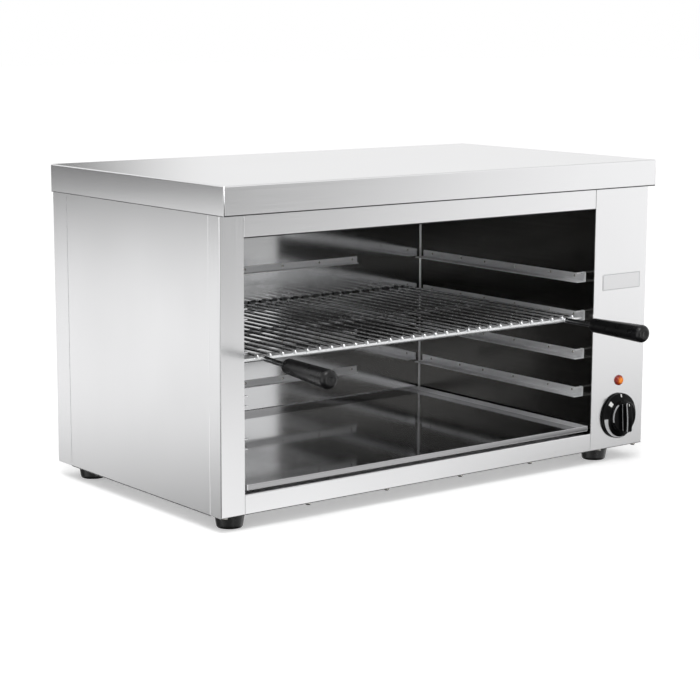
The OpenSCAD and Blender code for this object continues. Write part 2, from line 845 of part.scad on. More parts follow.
// From the terminal block to the regulator's live tag, and to the rear element's last leg
module supply_wires() {
    z_high = z_element - 22;
    y_leg = leg_ys[3];
    color([0.45, 0.2, 0.12]) run([
        [pole_xs[0], y_block_wire, z_pole], [pole_xs[0], spade_y + 12, z_pole],
        [pole_xs[0], spade_y + 12, z_knob], [pole_xs[0], spade_y, z_knob]
    ], wire_run_r);
    color([0.1, 0.25, 0.6]) run([
        [pole_xs[1], y_block_wire, z_pole], [pole_xs[1], y_leg, z_pole], [pole_xs[1], y_leg, z_high],
        [x_lug, y_leg, z_high], [x_lug, y_leg, z_element - spade_t / 2]
    ], wire_run_r);
}

// From the regulator's load tag up to the first leg, and the link between the two elements
module element_wires() {
    z_link = z_element - 14;
    z_lug = z_element - spade_t / 2;
    color([0.7, 0.68, 0.62]) {
        run([
            [pole_xs[2], spade_y, z_knob], [pole_xs[2], leg_ys[0], z_knob],
            [pole_xs[2], leg_ys[0], z_link], [x_lug, leg_ys[0], z_link], [x_lug, leg_ys[0], z_lug]
        ], wire_run_r);
        run([
            [x_lug, leg_ys[1], z_lug], [x_lug, leg_ys[1], z_link],
            [x_lug, leg_ys[2], z_link], [x_lug, leg_ys[2], z_lug]
        ], wire_run_r);
    }
}

// From the pilot lamp's two tags down to the regulator
module lamp_wires() {
    y = y_lamp_tag + 2;
    color([0.8, 0.1, 0.08]) for (side = [-1, 1]) {
        x = x_knob + side * lamp_tag_x;
        run([[x, y_lamp_tag, z_lamp], [x, y, z_lamp], [x, y, z_knob + regulator_w / 2]], lamp_wire_r);
    }
}

module earth_wire() {
    z_over = z_pole + 16;
    y_down = y_block - 6;
    color([0.2, 0.55, 0.2]) run([
        [pole_xs[2], y_block_wire, z_pole], [pole_xs[2], y_down, z_pole], [pole_xs[2], y_down, z_over],
        [pole_xs[2], stud_at[1], z_over], [stud_at[0], stud_at[1], z_over],
        [stud_at[0], stud_at[1], stud_at[2] + stud_h]
    ], wire_run_r);
}

module earth_stud() {
    color(brass_c) translate(stud_at) {
        translate([0, 0, -sheet]) cylinder(h = stud_h + sheet, r = stud_r);
        cylinder(h = 4, r = stud_r + 2, $fn = 6);
    }
}

// Lead entry -----------------------------------------------------------------------------------

module gland_bore_cut() {
    bar_y(x_gland, z_gland, y_rear - 20, gland_end + 1, gland_bore / 2);
}

module gland_body() {
    color(black_c) difference() {
        union() {
            bar_y(x_gland, z_gland, y_rear - sheet - 9, gland_end - 6, gland_r);
            translate([x_gland, y_rear, z_gland]) rotate([-90, 0, 0])
                cylinder(h = gland_flange, r = gland_r + 4, $fn = 6);
        }
        gland_bore_cut();
    }
}

module gland_dome() {
    y0 = y_rear + gland_flange;
    deep = gland_end - y0;
    color(black_c) difference() {
        translate([x_gland, y0, z_gland]) rotate([-90, 0, 0]) rotate_extrude()
            polygon([[0, 0], [gland_r + 3, 0], [gland_r + 3, deep - 5], [gland_r - 0.5, deep], [0, deep]]);
        bar_y(x_gland, z_gland, y0 - 1, gland_end - 6, gland_r + spindle_fit);
        gland_bore_cut();
    }
}

module gland_locknut() {
    color(black_c) difference() {
        translate([x_gland, y_rear - sheet - 4, z_gland]) rotate([-90, 0, 0])
            cylinder(h = 4, r = gland_r + 4, $fn = 6);
        bar_y(x_gland, z_gland, y_rear - sheet - 5, y_rear, gland_r + spindle_fit);
    }
}

// Feet and screws ------------------------------------------------------------------------------

module foot(x, y) {
    color(black_c) translate([x, y, 0]) difference() {
        rotate_extrude() polygon([
            [0, 0], [foot_base_d / 2 - 0.8, 0], [foot_base_d / 2, 0.8],
            [foot_top_d / 2, foot_h], [0, foot_h]
        ]);
        translate([0, 0, -1]) cylinder(h = foot_recess + 1, r = foot_recess_r);
        cylinder(h = foot_h + 1, r = foot_bolt_r + screw_fit);
    }
}

module front_left_foot() foot(foot_xs[0], foot_ys[0]);
module front_right_foot() foot(foot_xs[1], foot_ys[0]);
module rear_left_foot() foot(foot_xs[0], foot_ys[1]);
module rear_right_foot() foot(foot_xs[1], foot_ys[1]);

// Each foot's bolt has its head in the foot's recess and its nut on the base
module foot_screws() {
    color(chrome_c) for (x = foot_xs, y = foot_ys) translate([x, y, 0]) {
        translate([0, 0, foot_recess - foot_head_h]) cylinder(h = foot_head_h, r = foot_head_r);
        translate([0, 0, foot_recess])
            cylinder(h = foot_h - foot_recess + sheet + foot_bolt_end, r = foot_bolt_r);
        translate([0, 0, z_case + sheet]) cylinder(h = foot_nut_h, r = foot_nut_r, $fn = 6);
    }
}

module casing_screws() {
    color(chrome_c) {
        for (x = base_screw_xs) translate([x, base_screw_y, z_case - screw_head_h]) {
            cylinder(h = screw_head_h, r = screw_head_r);
            cylinder(h = screw_head_h + 8, r = screw_r);
        }
        for (x = [-rear_screw_x, rear_screw_x], z = rear_screw_zs) {
            bar_y(x, z, y_rear, y_rear + screw_head_h, screw_head_r);
            bar_y(x, z, y_rear - 7, y_rear + 1, screw_r);
        }
    }
}

// Crumb tray -----------------------------------------------------------------------------------

module crumb_tray() {
    x0 = x_left + tray_gap;
    x1 = x_right - tray_gap;
    y0 = y_face + tray_inset;
    y1 = y_wall - tray_rear_gap;
    color(polished_c) difference() {
        slab([x0, y0, z_floor], [x1, y1, z_floor + tray_rim]);
        slab([x0 + sheet, y0 + sheet, z_floor + sheet], [x1 - sheet, y1 - sheet, z_floor + tray_rim + 1]);
    }
}

// Rack -----------------------------------------------------------------------------------------

module rack_cross_rods() {
    color(chrome_c) for (y = rod_ys) bar_x(y, z_rod, x_mid - rod_half, x_mid + rod_half, rod_r);
}

// Each wire lies on the cross rods, and its two ends turn down over the outer rods
module rack_wires() {
    y0 = y_rod_1 - nub_side;
    y1 = y_rod_5 + nub_side;
    last = (wire_count - 1) / 2;
    color(chrome_c) for (i = [-last:last]) translate([x_mid + i * wire_pitch, 0, z_wire]) {
        bar_y(0, 0, y0, y1, wire_r);
        for (y = [y0, y1]) translate([0, y, 0]) {
            sphere(r = wire_r, $fn = 24);
            translate([0, 0, -nub_drop]) cylinder(h = nub_drop, r = wire_r);
        }
    }
}

// Puts a handle's piece on the handle's line, which starts at the front cross rod
module on_handle(side) {
    translate([x_mid + side * handle_spacing / 2, y_rod_1, z_rod])
        rotate(side < 0 ? [left_droop, 0, -left_splay] : [0, 0, 0]) children();
}

// The handle rods are welded to the front cross rod with a coped end, and end inside the grips
module rack_handle_rods() {
    color(chrome_c) difference() {
        for (side = [-1, 1]) on_handle(side) bar_y(0, 0, -handle_rod_len, -handle_cope, handle_r);
        bar_x(y_rod_1, z_rod, x_mid - rod_half, x_mid + rod_half, rod_r);
    }
}

module rack_grips() {
    r0 = grip_back_d / 2;
    r1 = grip_front_d / 2;
    round_r = 6;
    color(black_c) for (side = [-1, 1]) on_handle(side) translate([0, y_grip - y_rod_1, 0])
        rotate([90, 0, 0]) difference() {
            rotate_extrude() polygon(concat(
                [[0, 0], [r0 - 2, 0], [r0, 2]],
                [for (a = [0:15:90])
                    [r1 - round_r + round_r * cos(a), grip_len - round_r + round_r * sin(a)]],
                [[0, grip_len]]
            ));
            translate([0, 0, -1]) cylinder(h = grip_hold + 1 + grip_fit, r = handle_r + grip_fit);
        }
}

top_cover();
left_side_panel();
right_side_panel();
front_left_post();
control_panel();
top_fascia();
front_rail();
rear_panel();
base_panel();
cavity_left_wall();
cavity_right_wall();
cavity_back_wall();
cavity_ceiling();
cavity_floor();
left_runner(1);  // left_runner_1
left_runner(2);  // left_runner_2
left_runner(3);  // left_runner_3
left_runner(4);  // left_runner_4
right_runner(1);  // right_runner_1
right_runner(2);  // right_runner_2
right_runner(3);  // right_runner_3
right_runner(4);  // right_runner_4
back_strips();
runner_rivets();
front_element();
rear_element();
element_bushes();
element_insulators();
element_terminals();
element_hangers();
energy_regulator();
regulator_nut();
regulator_spindle();
control_knob();
knob_marks();
lamp_lens();
lamp_body();
lamp_nut();
name_plate();
terminal_block();
terminal_screws();
supply_wires();
element_wires();
lamp_wires();
earth_wire();
earth_stud();
gland_body();
gland_dome();
gland_locknut();
front_left_foot();
front_right_foot();
rear_left_foot();
rear_right_foot();
foot_screws();
casing_screws();
crumb_tray();
rack_cross_rods();
rack_wires();
rack_handle_rods();
rack_grips();
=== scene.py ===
"""Looks of a countertop cheese melter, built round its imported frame.

Metres throughout. The open front faces -Y, the controls are at +X and the worktop is z = 0.
"""

import logging
import math
from collections.abc import Iterable, Sequence
from dataclasses import dataclass, replace
from enum import Enum

import bmesh
import bpy
from mathutils import Matrix, Vector


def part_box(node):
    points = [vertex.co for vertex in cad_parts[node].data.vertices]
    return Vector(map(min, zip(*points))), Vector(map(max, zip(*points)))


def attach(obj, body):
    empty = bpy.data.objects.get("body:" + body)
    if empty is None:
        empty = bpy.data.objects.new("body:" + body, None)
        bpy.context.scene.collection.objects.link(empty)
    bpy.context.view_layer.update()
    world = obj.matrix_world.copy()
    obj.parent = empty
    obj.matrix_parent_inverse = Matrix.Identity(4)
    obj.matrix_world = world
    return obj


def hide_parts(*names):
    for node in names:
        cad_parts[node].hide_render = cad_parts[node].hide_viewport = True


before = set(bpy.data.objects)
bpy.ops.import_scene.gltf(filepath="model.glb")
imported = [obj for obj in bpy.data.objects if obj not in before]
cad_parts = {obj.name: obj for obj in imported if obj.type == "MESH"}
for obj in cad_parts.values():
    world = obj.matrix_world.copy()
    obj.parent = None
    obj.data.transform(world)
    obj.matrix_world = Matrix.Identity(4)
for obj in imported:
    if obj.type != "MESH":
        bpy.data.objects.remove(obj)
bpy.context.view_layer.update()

MM = 0.001
LOG = logging.getLogger("cheese_melter")
# Distance within which vertices are one
MERGE = 0.002 * MM
# Distance within which two places count as the same
TOUCH = 0.01 * MM
# Difference below which two sides of a box show that a round solid stands in it
ALIKE = 0.05 * MM
# Values that a noise pattern mostly stays between, for a fine grain and for wide patches
GRAIN_RANGE = (0.25, 0.75)
PATCH_RANGE = (0.3, 0.7)


class Body(Enum):
    """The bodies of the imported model."""

    CABINET = "body"
    RACK = "rack"
    TRAY = "tray"
    KNOB = "knob"


class Axis(Enum):
    """A direction that a grain or a lathed shape follows, as its index in a vector."""

    X = 0
    Y = 1
    Z = 2


# Small tools ---------------------------------------------------------------------------------


def srgb(code: str) -> tuple[float, float, float, float]:
    """Turns an sRGB hex colour into linear RGBA.

    Args:
        code: The colour, as #rrggbb.

    Returns:
        Red, green, blue and an alpha of 1, all linear.
    """
    parts = [int(code[i:i + 2], 16) / 255 for i in (1, 3, 5)]
    return (*(c / 12.92 if c <= 0.04045 else ((c + 0.055) / 1.055) ** 2.4 for c in parts), 1.0)


def add_node(
    tree: bpy.types.NodeTree,
    kind: str,
    settings: dict[str, object] | None = None,
    inputs: dict[str | int, object] | None = None,
) -> bpy.types.Node:
    """Adds a shader node with its settings, values and links.

    Args:
        tree: The node tree that takes the node.
        kind: The node's type name.
        settings: Properties of the node itself.
        inputs: A value for each input socket, or the output socket that feeds it.

    Returns:
        The new node.
    """
    node = tree.nodes.new(kind)
    for name, value in (settings or {}).items():
        setattr(node, name, value)
    for name, value in (inputs or {}).items():
        if isinstance(value, bpy.types.NodeSocket):
            tree.links.new(value, node.inputs[name])
        else:
            node.inputs[name].default_value = value
    return node


# Finishes ------------------------------------------------------------------------------------


@dataclass(frozen=True)
class Finish:
    """What a surface is made of and how it was made.

    Attributes:
        title: The material's name.
        slot: The record's material slot that it belongs to. Not used by this script.
    """

    title: str
    slot: str

    def material(self) -> bpy.types.Material:
        """Makes the finish's material the first time it is asked for.

        Returns:
            The material.
        """
        known = bpy.data.materials.get(self.title)
        if known is not None:
            return known
        made = bpy.data.materials.new(self.title)
        made.use_nodes = True
        tree = made.node_tree
        tree.nodes.clear()
        shader = self.shader(tree)
        add_node(tree, "ShaderNodeOutputMaterial", inputs={"Surface": shader.outputs[0]})
        return made

    def shader(self, tree: bpy.types.NodeTree) -> bpy.types.Node:
        """Adds the finish's nodes.

        Args:
            tree: The material's node tree.

        Returns:
            The node whose first output is the surface.
        """
        raise NotImplementedError


@dataclass(frozen=True)
class DrawnMetal(Finish):
    """A metal whose grain, drawing lines or polishing marks run one way.

    Attributes:
        light: Colour of the crests of the grain.
        dark: Colour of its hollows.
        roughness: Typical roughness.
        spread: How far the roughness varies to each side.
        pitch_mm: Distance between two lines of the grain.
        length_mm: Length of a line.
        depth_mm: Depth of the grain.
        cloud_mm: Size of the soft patches that handling and cleaning leave.
        cloud: How much those patches add to the roughness.
        along: Direction of the grain.
        stretch: How far reflections are drawn out upright, 0 for not at all.
        metallic: 1 for a clean mirror-like metal, less for a surface that also scatters light.
    """

    light: str
    dark: str
    roughness: float
    spread: float
    pitch_mm: float
    length_mm: float
    depth_mm: float
    cloud_mm: float
    cloud: float
    along: Axis
    stretch: float = 0.0
    metallic: float = 1.0

    def shader(self, tree: bpy.types.NodeTree) -> bpy.types.Node:
        """Adds stretched noise for the grain and wide noise for the patches.

        Args:
            tree: The material's node tree.

        Returns:
            The principled shader.
        """
        place = add_node(tree, "ShaderNodeTexCoord").outputs["Object"]
        scale = [1 / (self.pitch_mm * MM)] * 3
        scale[self.along.value] = 1 / (self.length_mm * MM)
        lines = add_node(tree, "ShaderNodeMapping", inputs={"Vector": place, "Scale": scale})
        grain = add_node(tree, "ShaderNodeTexNoise", inputs={
            "Vector": lines.outputs[0], "Scale": 1.0, "Detail": 3.0, "Roughness": 0.6})
        patches = add_node(tree, "ShaderNodeTexNoise", inputs={
            "Vector": place, "Scale": 1 / (self.cloud_mm * MM), "Detail": 2.0})
        fine = add_node(tree, "ShaderNodeMapRange", inputs={
            "Value": grain.outputs[0], "From Min": GRAIN_RANGE[0], "From Max": GRAIN_RANGE[1],
            "To Min": self.roughness - self.spread, "To Max": self.roughness + self.spread})
        wide = add_node(tree, "ShaderNodeMapRange", inputs={
            "Value": patches.outputs[0], "From Min": PATCH_RANGE[0], "From Max": PATCH_RANGE[1],
            "To Min": 0.0, "To Max": self.cloud})
        rough = add_node(tree, "ShaderNodeMath", {"operation": "ADD"}, {
            0: fine.outputs[0], 1: wide.outputs[0]})
        tint = add_node(tree, "ShaderNodeMix", {"data_type": "RGBA"}, {
            "Factor": grain.outputs[0], "A": srgb(self.dark), "B": srgb(self.light)})
        bump = add_node(tree, "ShaderNodeBump", inputs={
            "Height": grain.outputs[0], "Distance": self.depth_mm * MM, "Strength": 1.0})
        metal = add_node(tree, "ShaderNodeBsdfPrincipled", inputs={
            "Base Color": tint.outputs["Result"], "Metallic": self.metallic,
            "Roughness": rough.outputs[0], "Normal": bump.outputs[0],
            "Anisotropic": self.stretch, "Anisotropic Rotation": 0.25})
        # A level tangent, given a quarter turn, draws the reflections out upright
        if self.stretch > 0:
            level = add_node(tree, "ShaderNodeTangent", {"direction_type": "RADIAL", "axis": "Z"})
            tree.links.new(level.outputs[0], metal.inputs["Tangent"])
        return metal


# Width of a patch of even gloss on a moulding, in pits
PATCH_PITS = 1 / 0.06


@dataclass(frozen=True)
class Moulded(Finish):
    """A moulded, fired or printed surface with fine pits.

    Attributes:
        light: Colour of the high places.
        dark: Colour of the pits.
        roughness: Typical roughness.
        spread: How far the roughness varies to each side.
        pit_mm: Size of a pit.
        depth_mm: Depth of a pit. The patches of gloss are PATCH_PITS times as wide.
        shine: Strength of the reflection of what is not metal, 0.5 for clear plastic.
        metallic: 1 for a metal.
    """

    light: str
    dark: str
    roughness: float
    spread: float
    pit_mm: float
    depth_mm: float
    shine: float = 0.5
    metallic: float = 0.0

    def shader(self, tree: bpy.types.NodeTree) -> bpy.types.Node:
        """Adds even noise for the pits and a wider one for the change of gloss.

        Args:
            tree: The material's node tree.

        Returns:
            The principled shader.
        """
        place = add_node(tree, "ShaderNodeTexCoord").outputs["Object"]
        pits = add_node(tree, "ShaderNodeTexNoise", inputs={
            "Vector": place, "Scale": 1 / (self.pit_mm * MM), "Detail": 3.0, "Roughness": 0.55})
        patches = add_node(tree, "ShaderNodeTexNoise", inputs={
            "Vector": place, "Scale": 1 / (PATCH_PITS * self.pit_mm * MM), "Detail": 2.0})
        rough = add_node(tree, "ShaderNodeMapRange", inputs={
            "Value": patches.outputs[0], "From Min": PATCH_RANGE[0], "From Max": PATCH_RANGE[1],
            "To Min": self.roughness - self.spread, "To Max": self.roughness + self.spread})
        tint = add_node(tree, "ShaderNodeMix", {"data_type": "RGBA"}, {
            "Factor": pits.outputs[0], "A": srgb(self.dark), "B": srgb(self.light)})
        bump = add_node(tree, "ShaderNodeBump", inputs={
            "Height": pits.outputs[0], "Distance": self.depth_mm * MM, "Strength": 1.0})
        return add_node(tree, "ShaderNodeBsdfPrincipled", inputs={
            "Base Color": tint.outputs["Result"], "Metallic": self.metallic,
            "Roughness": rough.outputs[0], "Normal": bump.outputs[0],
            "Specular IOR Level": self.shine})


@dataclass(frozen=True)
class ClearLens(Finish):
    """A moulded clear lens, whose colour is lighter in its middle and darker at its rim: painted
    light and shade.

    Attributes:
        middle: Colour at the axis.
        rim: Colour at the edge.
        centre: The lens's axis, as a point on it.
        radius: Radius of the lens.
        roughness: Roughness of its skin.
        ior: Refractive index of polycarbonate.
        shine: Strength of its reflection.
        flutes: Number of moulded ripples across a radius.
        waver: How far the ripples shift the blend, in radii.
        blend: Distances from the axis between which the colours blend, in radii.
    """

    middle: str
    rim: str
    centre: tuple[float, float, float]
    radius: float
    roughness: float = 0.16
    ior: float = 1.58
    shine: float = 0.4
    flutes: float = 3.5
    waver: float = 0.5
    blend: tuple[float, float] = (0.6, 1.25)

    def shader(self, tree: bpy.types.NodeTree) -> bpy.types.Node:
        """Adds a radial blend and a little spread for the moulded flutes.

        Args:
            tree: The material's node tree.

        Returns:
            The principled shader.
        """
        place = add_node(tree, "ShaderNodeTexCoord").outputs["Object"]
        local = add_node(tree, "ShaderNodeMapping", inputs={
            "Vector": place, "Scale": (1 / self.radius, 0.0, 1 / self.radius),
            "Location": (-self.centre[0] / self.radius, 0.0, -self.centre[2] / self.radius)})
        away = add_node(tree, "ShaderNodeVectorMath", {"operation": "LENGTH"}, {
            0: local.outputs[0]})
        flutes = add_node(tree, "ShaderNodeTexNoise", inputs={
            "Vector": local.outputs[0], "Scale": self.flutes, "Detail": 1.0})
        mixed = add_node(tree, "ShaderNodeMath", {"operation": "MULTIPLY_ADD"}, {
            0: flutes.outputs[0], 1: self.waver, 2: away.outputs["Value"]})
        share = add_node(tree, "ShaderNodeMapRange", {"interpolation_type": "SMOOTHSTEP"}, {
            "Value": mixed.outputs[0], "From Min": self.blend[0], "From Max": self.blend[1]})
        tint = add_node(tree, "ShaderNodeMix", {"data_type": "RGBA"}, {
            "Factor": share.outputs[0], "A": srgb(self.middle), "B": srgb(self.rim)})
        return add_node(tree, "ShaderNodeBsdfPrincipled", inputs={
            "Base Color": tint.outputs["Result"], "Roughness": self.roughness, "IOR": self.ior,
            "Specular IOR Level": self.shine})


@dataclass(frozen=True)
class PaintedShadeWire(Finish):
    """Plated wire with painted shade on its underside and a painted highlight on its front end.

    Attributes:
        bright: Colour of the plating.
        underside_shade: Colour of the underside, painted shade.
        roughness: Roughness of the plating.
        metallic: 1 for a clean mirror-like metal, less where it also scatters light.
        axis_z: Height of the wire's axis.
        radius: Radius of the wire.
        front_y: Where the painted highlight of the front end begins.
        fade_mm: Length over which it ends.
        shade_fade: Heights over the axis between which the painted shade thins out, in radii.
        speck_mm: Size of the specks.
        ragged: How far the specks shift the painted shade's edge, in radii.
        spread: How far the specks vary the roughness to each side.
    """

    bright: str
    underside_shade: str
    roughness: float
    metallic: float
    axis_z: float
    radius: float
    front_y: float
    fade_mm: float = 3.0
    shade_fade: tuple[float, float] = (0.1, 0.9)
    speck_mm: float = 2.5
    ragged: float = 0.5
    spread: float = 0.04

    def shader(self, tree: bpy.types.NodeTree) -> bpy.types.Node:
        """Adds the painted shade that changes with height, the painted highlight at the front and
        fine specks.

        Args:
            tree: The material's node tree.

        Returns:
            The principled shader.
        """
        place = add_node(tree, "ShaderNodeTexCoord").outputs["Object"]
        parts = add_node(tree, "ShaderNodeSeparateXYZ", inputs={"Vector": place})
        specks = add_node(tree, "ShaderNodeTexNoise", inputs={
            "Vector": place, "Scale": 1 / (self.speck_mm * MM), "Detail": 2.0})
        shift = add_node(tree, "ShaderNodeMath", {"operation": "MULTIPLY_ADD"}, {
            0: specks.outputs[0], 1: self.ragged * self.radius, 2: parts.outputs["Z"]})
        upper = add_node(tree, "ShaderNodeMapRange", {"interpolation_type": "SMOOTHSTEP"}, {
            "Value": shift.outputs[0], "From Min": self.axis_z + self.shade_fade[0] * self.radius,
            "From Max": self.axis_z + self.shade_fade[1] * self.radius})
        front = add_node(tree, "ShaderNodeMapRange", {"interpolation_type": "SMOOTHSTEP"}, {
            "Value": parts.outputs["Y"], "From Min": self.front_y,
            "From Max": self.front_y + self.fade_mm * MM, "To Min": 1.0, "To Max": 0.0})
        lit_share = add_node(tree, "ShaderNodeMath", {"operation": "MAXIMUM"}, {
            0: upper.outputs[0], 1: front.outputs[0]})
        tint = add_node(tree, "ShaderNodeMix", {"data_type": "RGBA"}, {
            "Factor": lit_share.outputs[0], "A": srgb(self.underside_shade), "B": srgb(self.bright)})
        rough = add_node(tree, "ShaderNodeMapRange", inputs={
            "Value": specks.outputs[0], "From Min": PATCH_RANGE[0], "From Max": PATCH_RANGE[1],
            "To Min": self.roughness - self.spread, "To Max": self.roughness + self.spread})
        return add_node(tree, "ShaderNodeBsdfPrincipled", inputs={
            "Base Color": tint.outputs["Result"], "Metallic": self.metallic,
            "Roughness": rough.outputs[0]})


# Ferritic stainless sheet, belt brushed: pale, with soft reflections. The real lines are 0.1 mm
# apart; they are drawn 0.7 mm apart so that they show.
BRUSHED_ACROSS = DrawnMetal(
    "stainless_steel_brushed_across", "stainless_brushed", "#fbfbfc", "#f6f6f7",
    roughness=0.19, spread=0.02, pitch_mm=0.7, length_mm=90, depth_mm=0.0014,
    cloud_mm=140, cloud=0.02, along=Axis.X)
BRUSHED_UPRIGHT = replace(
    BRUSHED_ACROSS, title="stainless_steel_brushed_upright", along=Axis.Z)
# The same sheet on its lower folds, which only see the worktop, darkened as painted shade: a dark
# line under each panel
PAINTED_SHADE_FOLD = replace(
    BRUSHED_ACROSS, title="stainless_steel_brushed_painted_shade_fold",
    light="#7c7c7d", dark="#6e6e6f", roughness=0.30)
# Bright annealed stainless sheet: nearly a mirror, drawn out upright by its level rolling lines
BRIGHT_LEVEL = DrawnMetal(
    "stainless_steel_bright_annealed_level", "stainless_polished", "#fbfbfc", "#f3f4f5",
    roughness=0.09, spread=0.01, pitch_mm=3.0, length_mm=260, depth_mm=0.0003,
    cloud_mm=110, cloud=0.02, along=Axis.X, stretch=0.4)
# The same sheet on the cavity's floor and on the tray's floor and front: a greyer mirror with faint
# patches
BRIGHT_FLAT = replace(
    BRIGHT_LEVEL, title="stainless_steel_bright_annealed_greyer",
    light="#b4b4b5", dark="#a2a2a3", roughness=0.07, spread=0.015, depth_mm=0.0006,
    cloud=0.03, stretch=0.0)
# The same sheet on the cavity's side walls and ceiling, darkened as painted shade and painted dark
# reflection: a dim mirror
PAINTED_SHADE_WALL = DrawnMetal(
    "stainless_steel_painted_shade_wall", "stainless_polished", "#585755", "#4a4947",
    roughness=0.15, spread=0.03, pitch_mm=3.0, length_mm=200, depth_mm=0.0008,
    cloud_mm=90, cloud=0.06, along=Axis.Y, stretch=0.5)
# Folded strip of the same sheet, handled and slid over: dull, it scatters the light
STRIP_DEEP = DrawnMetal(
    "stainless_steel_strip_front_to_back", "stainless_brushed", "#fafafb", "#e2e3e5",
    roughness=0.40, spread=0.05, pitch_mm=1.0, length_mm=60, depth_mm=0.003,
    cloud_mm=50, cloud=0.05, along=Axis.Y, metallic=0.45)
STRIP_ACROSS = replace(STRIP_DEEP, title="stainless_steel_strip_across", along=Axis.X)
# Steel rod, drawn and chromium plated, where the hand reaches: grey, with narrow highlights
CHROMED_DEEP = DrawnMetal(
    "steel_rod_chrome_plated_front_to_back", "chrome_wire", "#a8a9aa", "#8e8f91",
    roughness=0.20, spread=0.03, pitch_mm=0.8, length_mm=30, depth_mm=0.002,
    cloud_mm=40, cloud=0.05, along=Axis.Y)
# The same plating on the rack's front rod, at full brightness: the brightest line of the rack
CHROMED_ACROSS = replace(
    CHROMED_DEEP, title="steel_rod_chrome_plated_across",
    light="#f8f9fa", dark="#eeeff0", roughness=0.24, along=Axis.X, metallic=0.8)
# The same plating on the inner rods, greyer as painted shade of the wires over them, with blurred
# highlights
CHROMED_PAINTED_SHADE = replace(
    CHROMED_ACROSS, title="steel_rod_chrome_plated_painted_shade",
    light="#b4b4b5", dark="#8c8c8e", roughness=0.26, spread=0.05, metallic=0.6)

# The numbers of a moulded finish are roughness, its spread, and size and depth of a pit.

# Weld metal under the plating: rippled
WELD_BEAD = Moulded(
    "steel_weld_chrome_plated", "chrome_wire", "#f2f3f4", "#dddee0",
    0.24, 0.06, 0.9, 0.05, metallic=0.7)
# Steel fasteners, nickel plated: bright and slightly warm
NICKEL = Moulded(
    "steel_screw_nickel_plated", "screw_steel", "#d8d6d0", "#c6c4be",
    0.22, 0.05, 1.2, 0.004, metallic=1.0)
# Nickel alloy sheath that has glowed red: dull grey-brown oxide
SHEATH = Moulded(
    "nickel_alloy_sheath_oxidised", "element_sheath", "#4a4643", "#2b2927",
    0.52, 0.10, 1.4, 0.01, metallic=0.6)
# Turned brass: warm yellow with a soft shine
BRASS = Moulded(
    "brass_turned", "brass", "#d6b46a", "#b8924a", 0.26, 0.06, 1.5, 0.004, metallic=1.0)
# Fired steatite: chalky off-white
STEATITE = Moulded("steatite_fired", "steatite", "#f0ece0", "#e2ddcf", 0.6, 0.06, 0.8, 0.02)
# Phenolic knob from a polished mould: deep black with sharp highlights
KNOB_BLACK = Moulded(
    "phenolic_moulded_glossy", "knob_phenolic", "#0b0b0c", "#060607",
    0.17, 0.03, 1.4, 0.002, shine=0.08)
# The same in pale grey on the edges of the bar and the boss: painted highlights
KNOB_HIGHLIGHT = Moulded(
    "phenolic_painted_highlight", "knob_phenolic", "#a4a4a6", "#8e8e90", 0.22, 0.04, 1.2, 0.002)
# Screen printed ink on the knob: flat white, and grey for the scale
MARK_WHITE = Moulded(
    "ink_screen_printed", "marking_white", "#f2f2f0", "#e6e6e4", 0.5, 0.05, 0.6, 0.002)
MARK_GREY = replace(
    MARK_WHITE, title="ink_screen_printed_grey", light="#c2c3c4", dark="#b0b1b3")
# Phenolic grips from a blasted mould: satin black, greyer where the light grazes
GRIP_BLACK = Moulded(
    "phenolic_moulded_satin", "grip_phenolic", "#131314", "#0b0b0c",
    0.30, 0.05, 0.7, 0.008, shine=0.4)
# Lamp body of dark amber nylon, with a slight shine
LAMP_NYLON = Moulded(
    "nylon_moulded_amber", "lamp_housing", "#6a1c0c", "#541408", 0.35, 0.05, 1.0, 0.004)
# Glass-filled nylon: dark with a dry, speckled skin
SWITCH_NYLON = Moulded(
    "nylon_glass_filled", "switch_housing", "#2b2b2d", "#1d1d1f", 0.45, 0.07, 0.6, 0.01)
# Nitrile rubber foot: black, softly shining where the mould was smooth
FOOT_RUBBER = Moulded(
    "rubber_moulded", "foot_rubber", "#131314", "#0b0b0c", 0.26, 0.05, 1.0, 0.006)
# Polyamide gland: matt black
GLAND_BLACK = Moulded(
    "polyamide_moulded", "gland_nylon", "#1b1b1c", "#111112", 0.42, 0.06, 0.8, 0.008)
# Aluminium plate, satin anodised: even, bright pale grey
PLATE_FACE = Moulded(
    "aluminium_satin_anodised", "plate_foil", "#fbfbfc", "#f8f8f9",
    0.34, 0.01, 0.15, 0.0002, metallic=1.0)
# Border etched into it: a thin grey line
PLATE_LINE = Moulded(
    "aluminium_etched_line", "plate_foil", "#c9cacc", "#bcbdbf",
    0.5, 0.05, 0.5, 0.003, metallic=1.0)
# Silicone sleeves: dull, coloured by circuit
SLEEVE_BROWN = Moulded(
    "silicone_sleeve_brown", "wire_sleeve", "#6b3a22", "#5a2f1b", 0.5, 0.06, 1.0, 0.01)
SLEEVE_BLUE = replace(
    SLEEVE_BROWN, title="silicone_sleeve_blue", light="#2b4fa0", dark="#23428a")
SLEEVE_GREEN = replace(
    SLEEVE_BROWN, title="silicone_sleeve_green", light="#3f8f3a", dark="#35792f")
# Vinyl sleeve: smoother, with some shine
SLEEVE_RED = Moulded(
    "pvc_sleeve_red", "wire_sleeve", "#b32a20", "#99231a", 0.4, 0.06, 1.0, 0.006)
# Braided glass sleeve: dry, with a coarse weave
SLEEVE_GLASS = Moulded(
    "glass_braid_sleeve", "wire_sleeve", "#ddd8ca", "#b9b3a3", 0.7, 0.06, 0.9, 0.05)


# Mesh work -----------------------------------------------------------------------------------

# Angle below which two triangles of a CAD solid lie in one flat face, in degrees
FLAT_DEG = 1.5
# Angle below which a seam splits a flat face, in radians
SEAM = 0.01
# How far a fold may be from a right angle, in radians
SQUARE_SLACK = 0.35
# Angle past which the edge of a moulding is sharp, in radians
SHARP = 1.2
# Part of a face's normal past which the face looks one way
FACING = 0.9
# Angle past which the edge of a CAD solid is broken, in degrees
BROKEN_DEG = 40
# Number of faces across a moulding's rounded edge
MOULDED_STEPS = 3


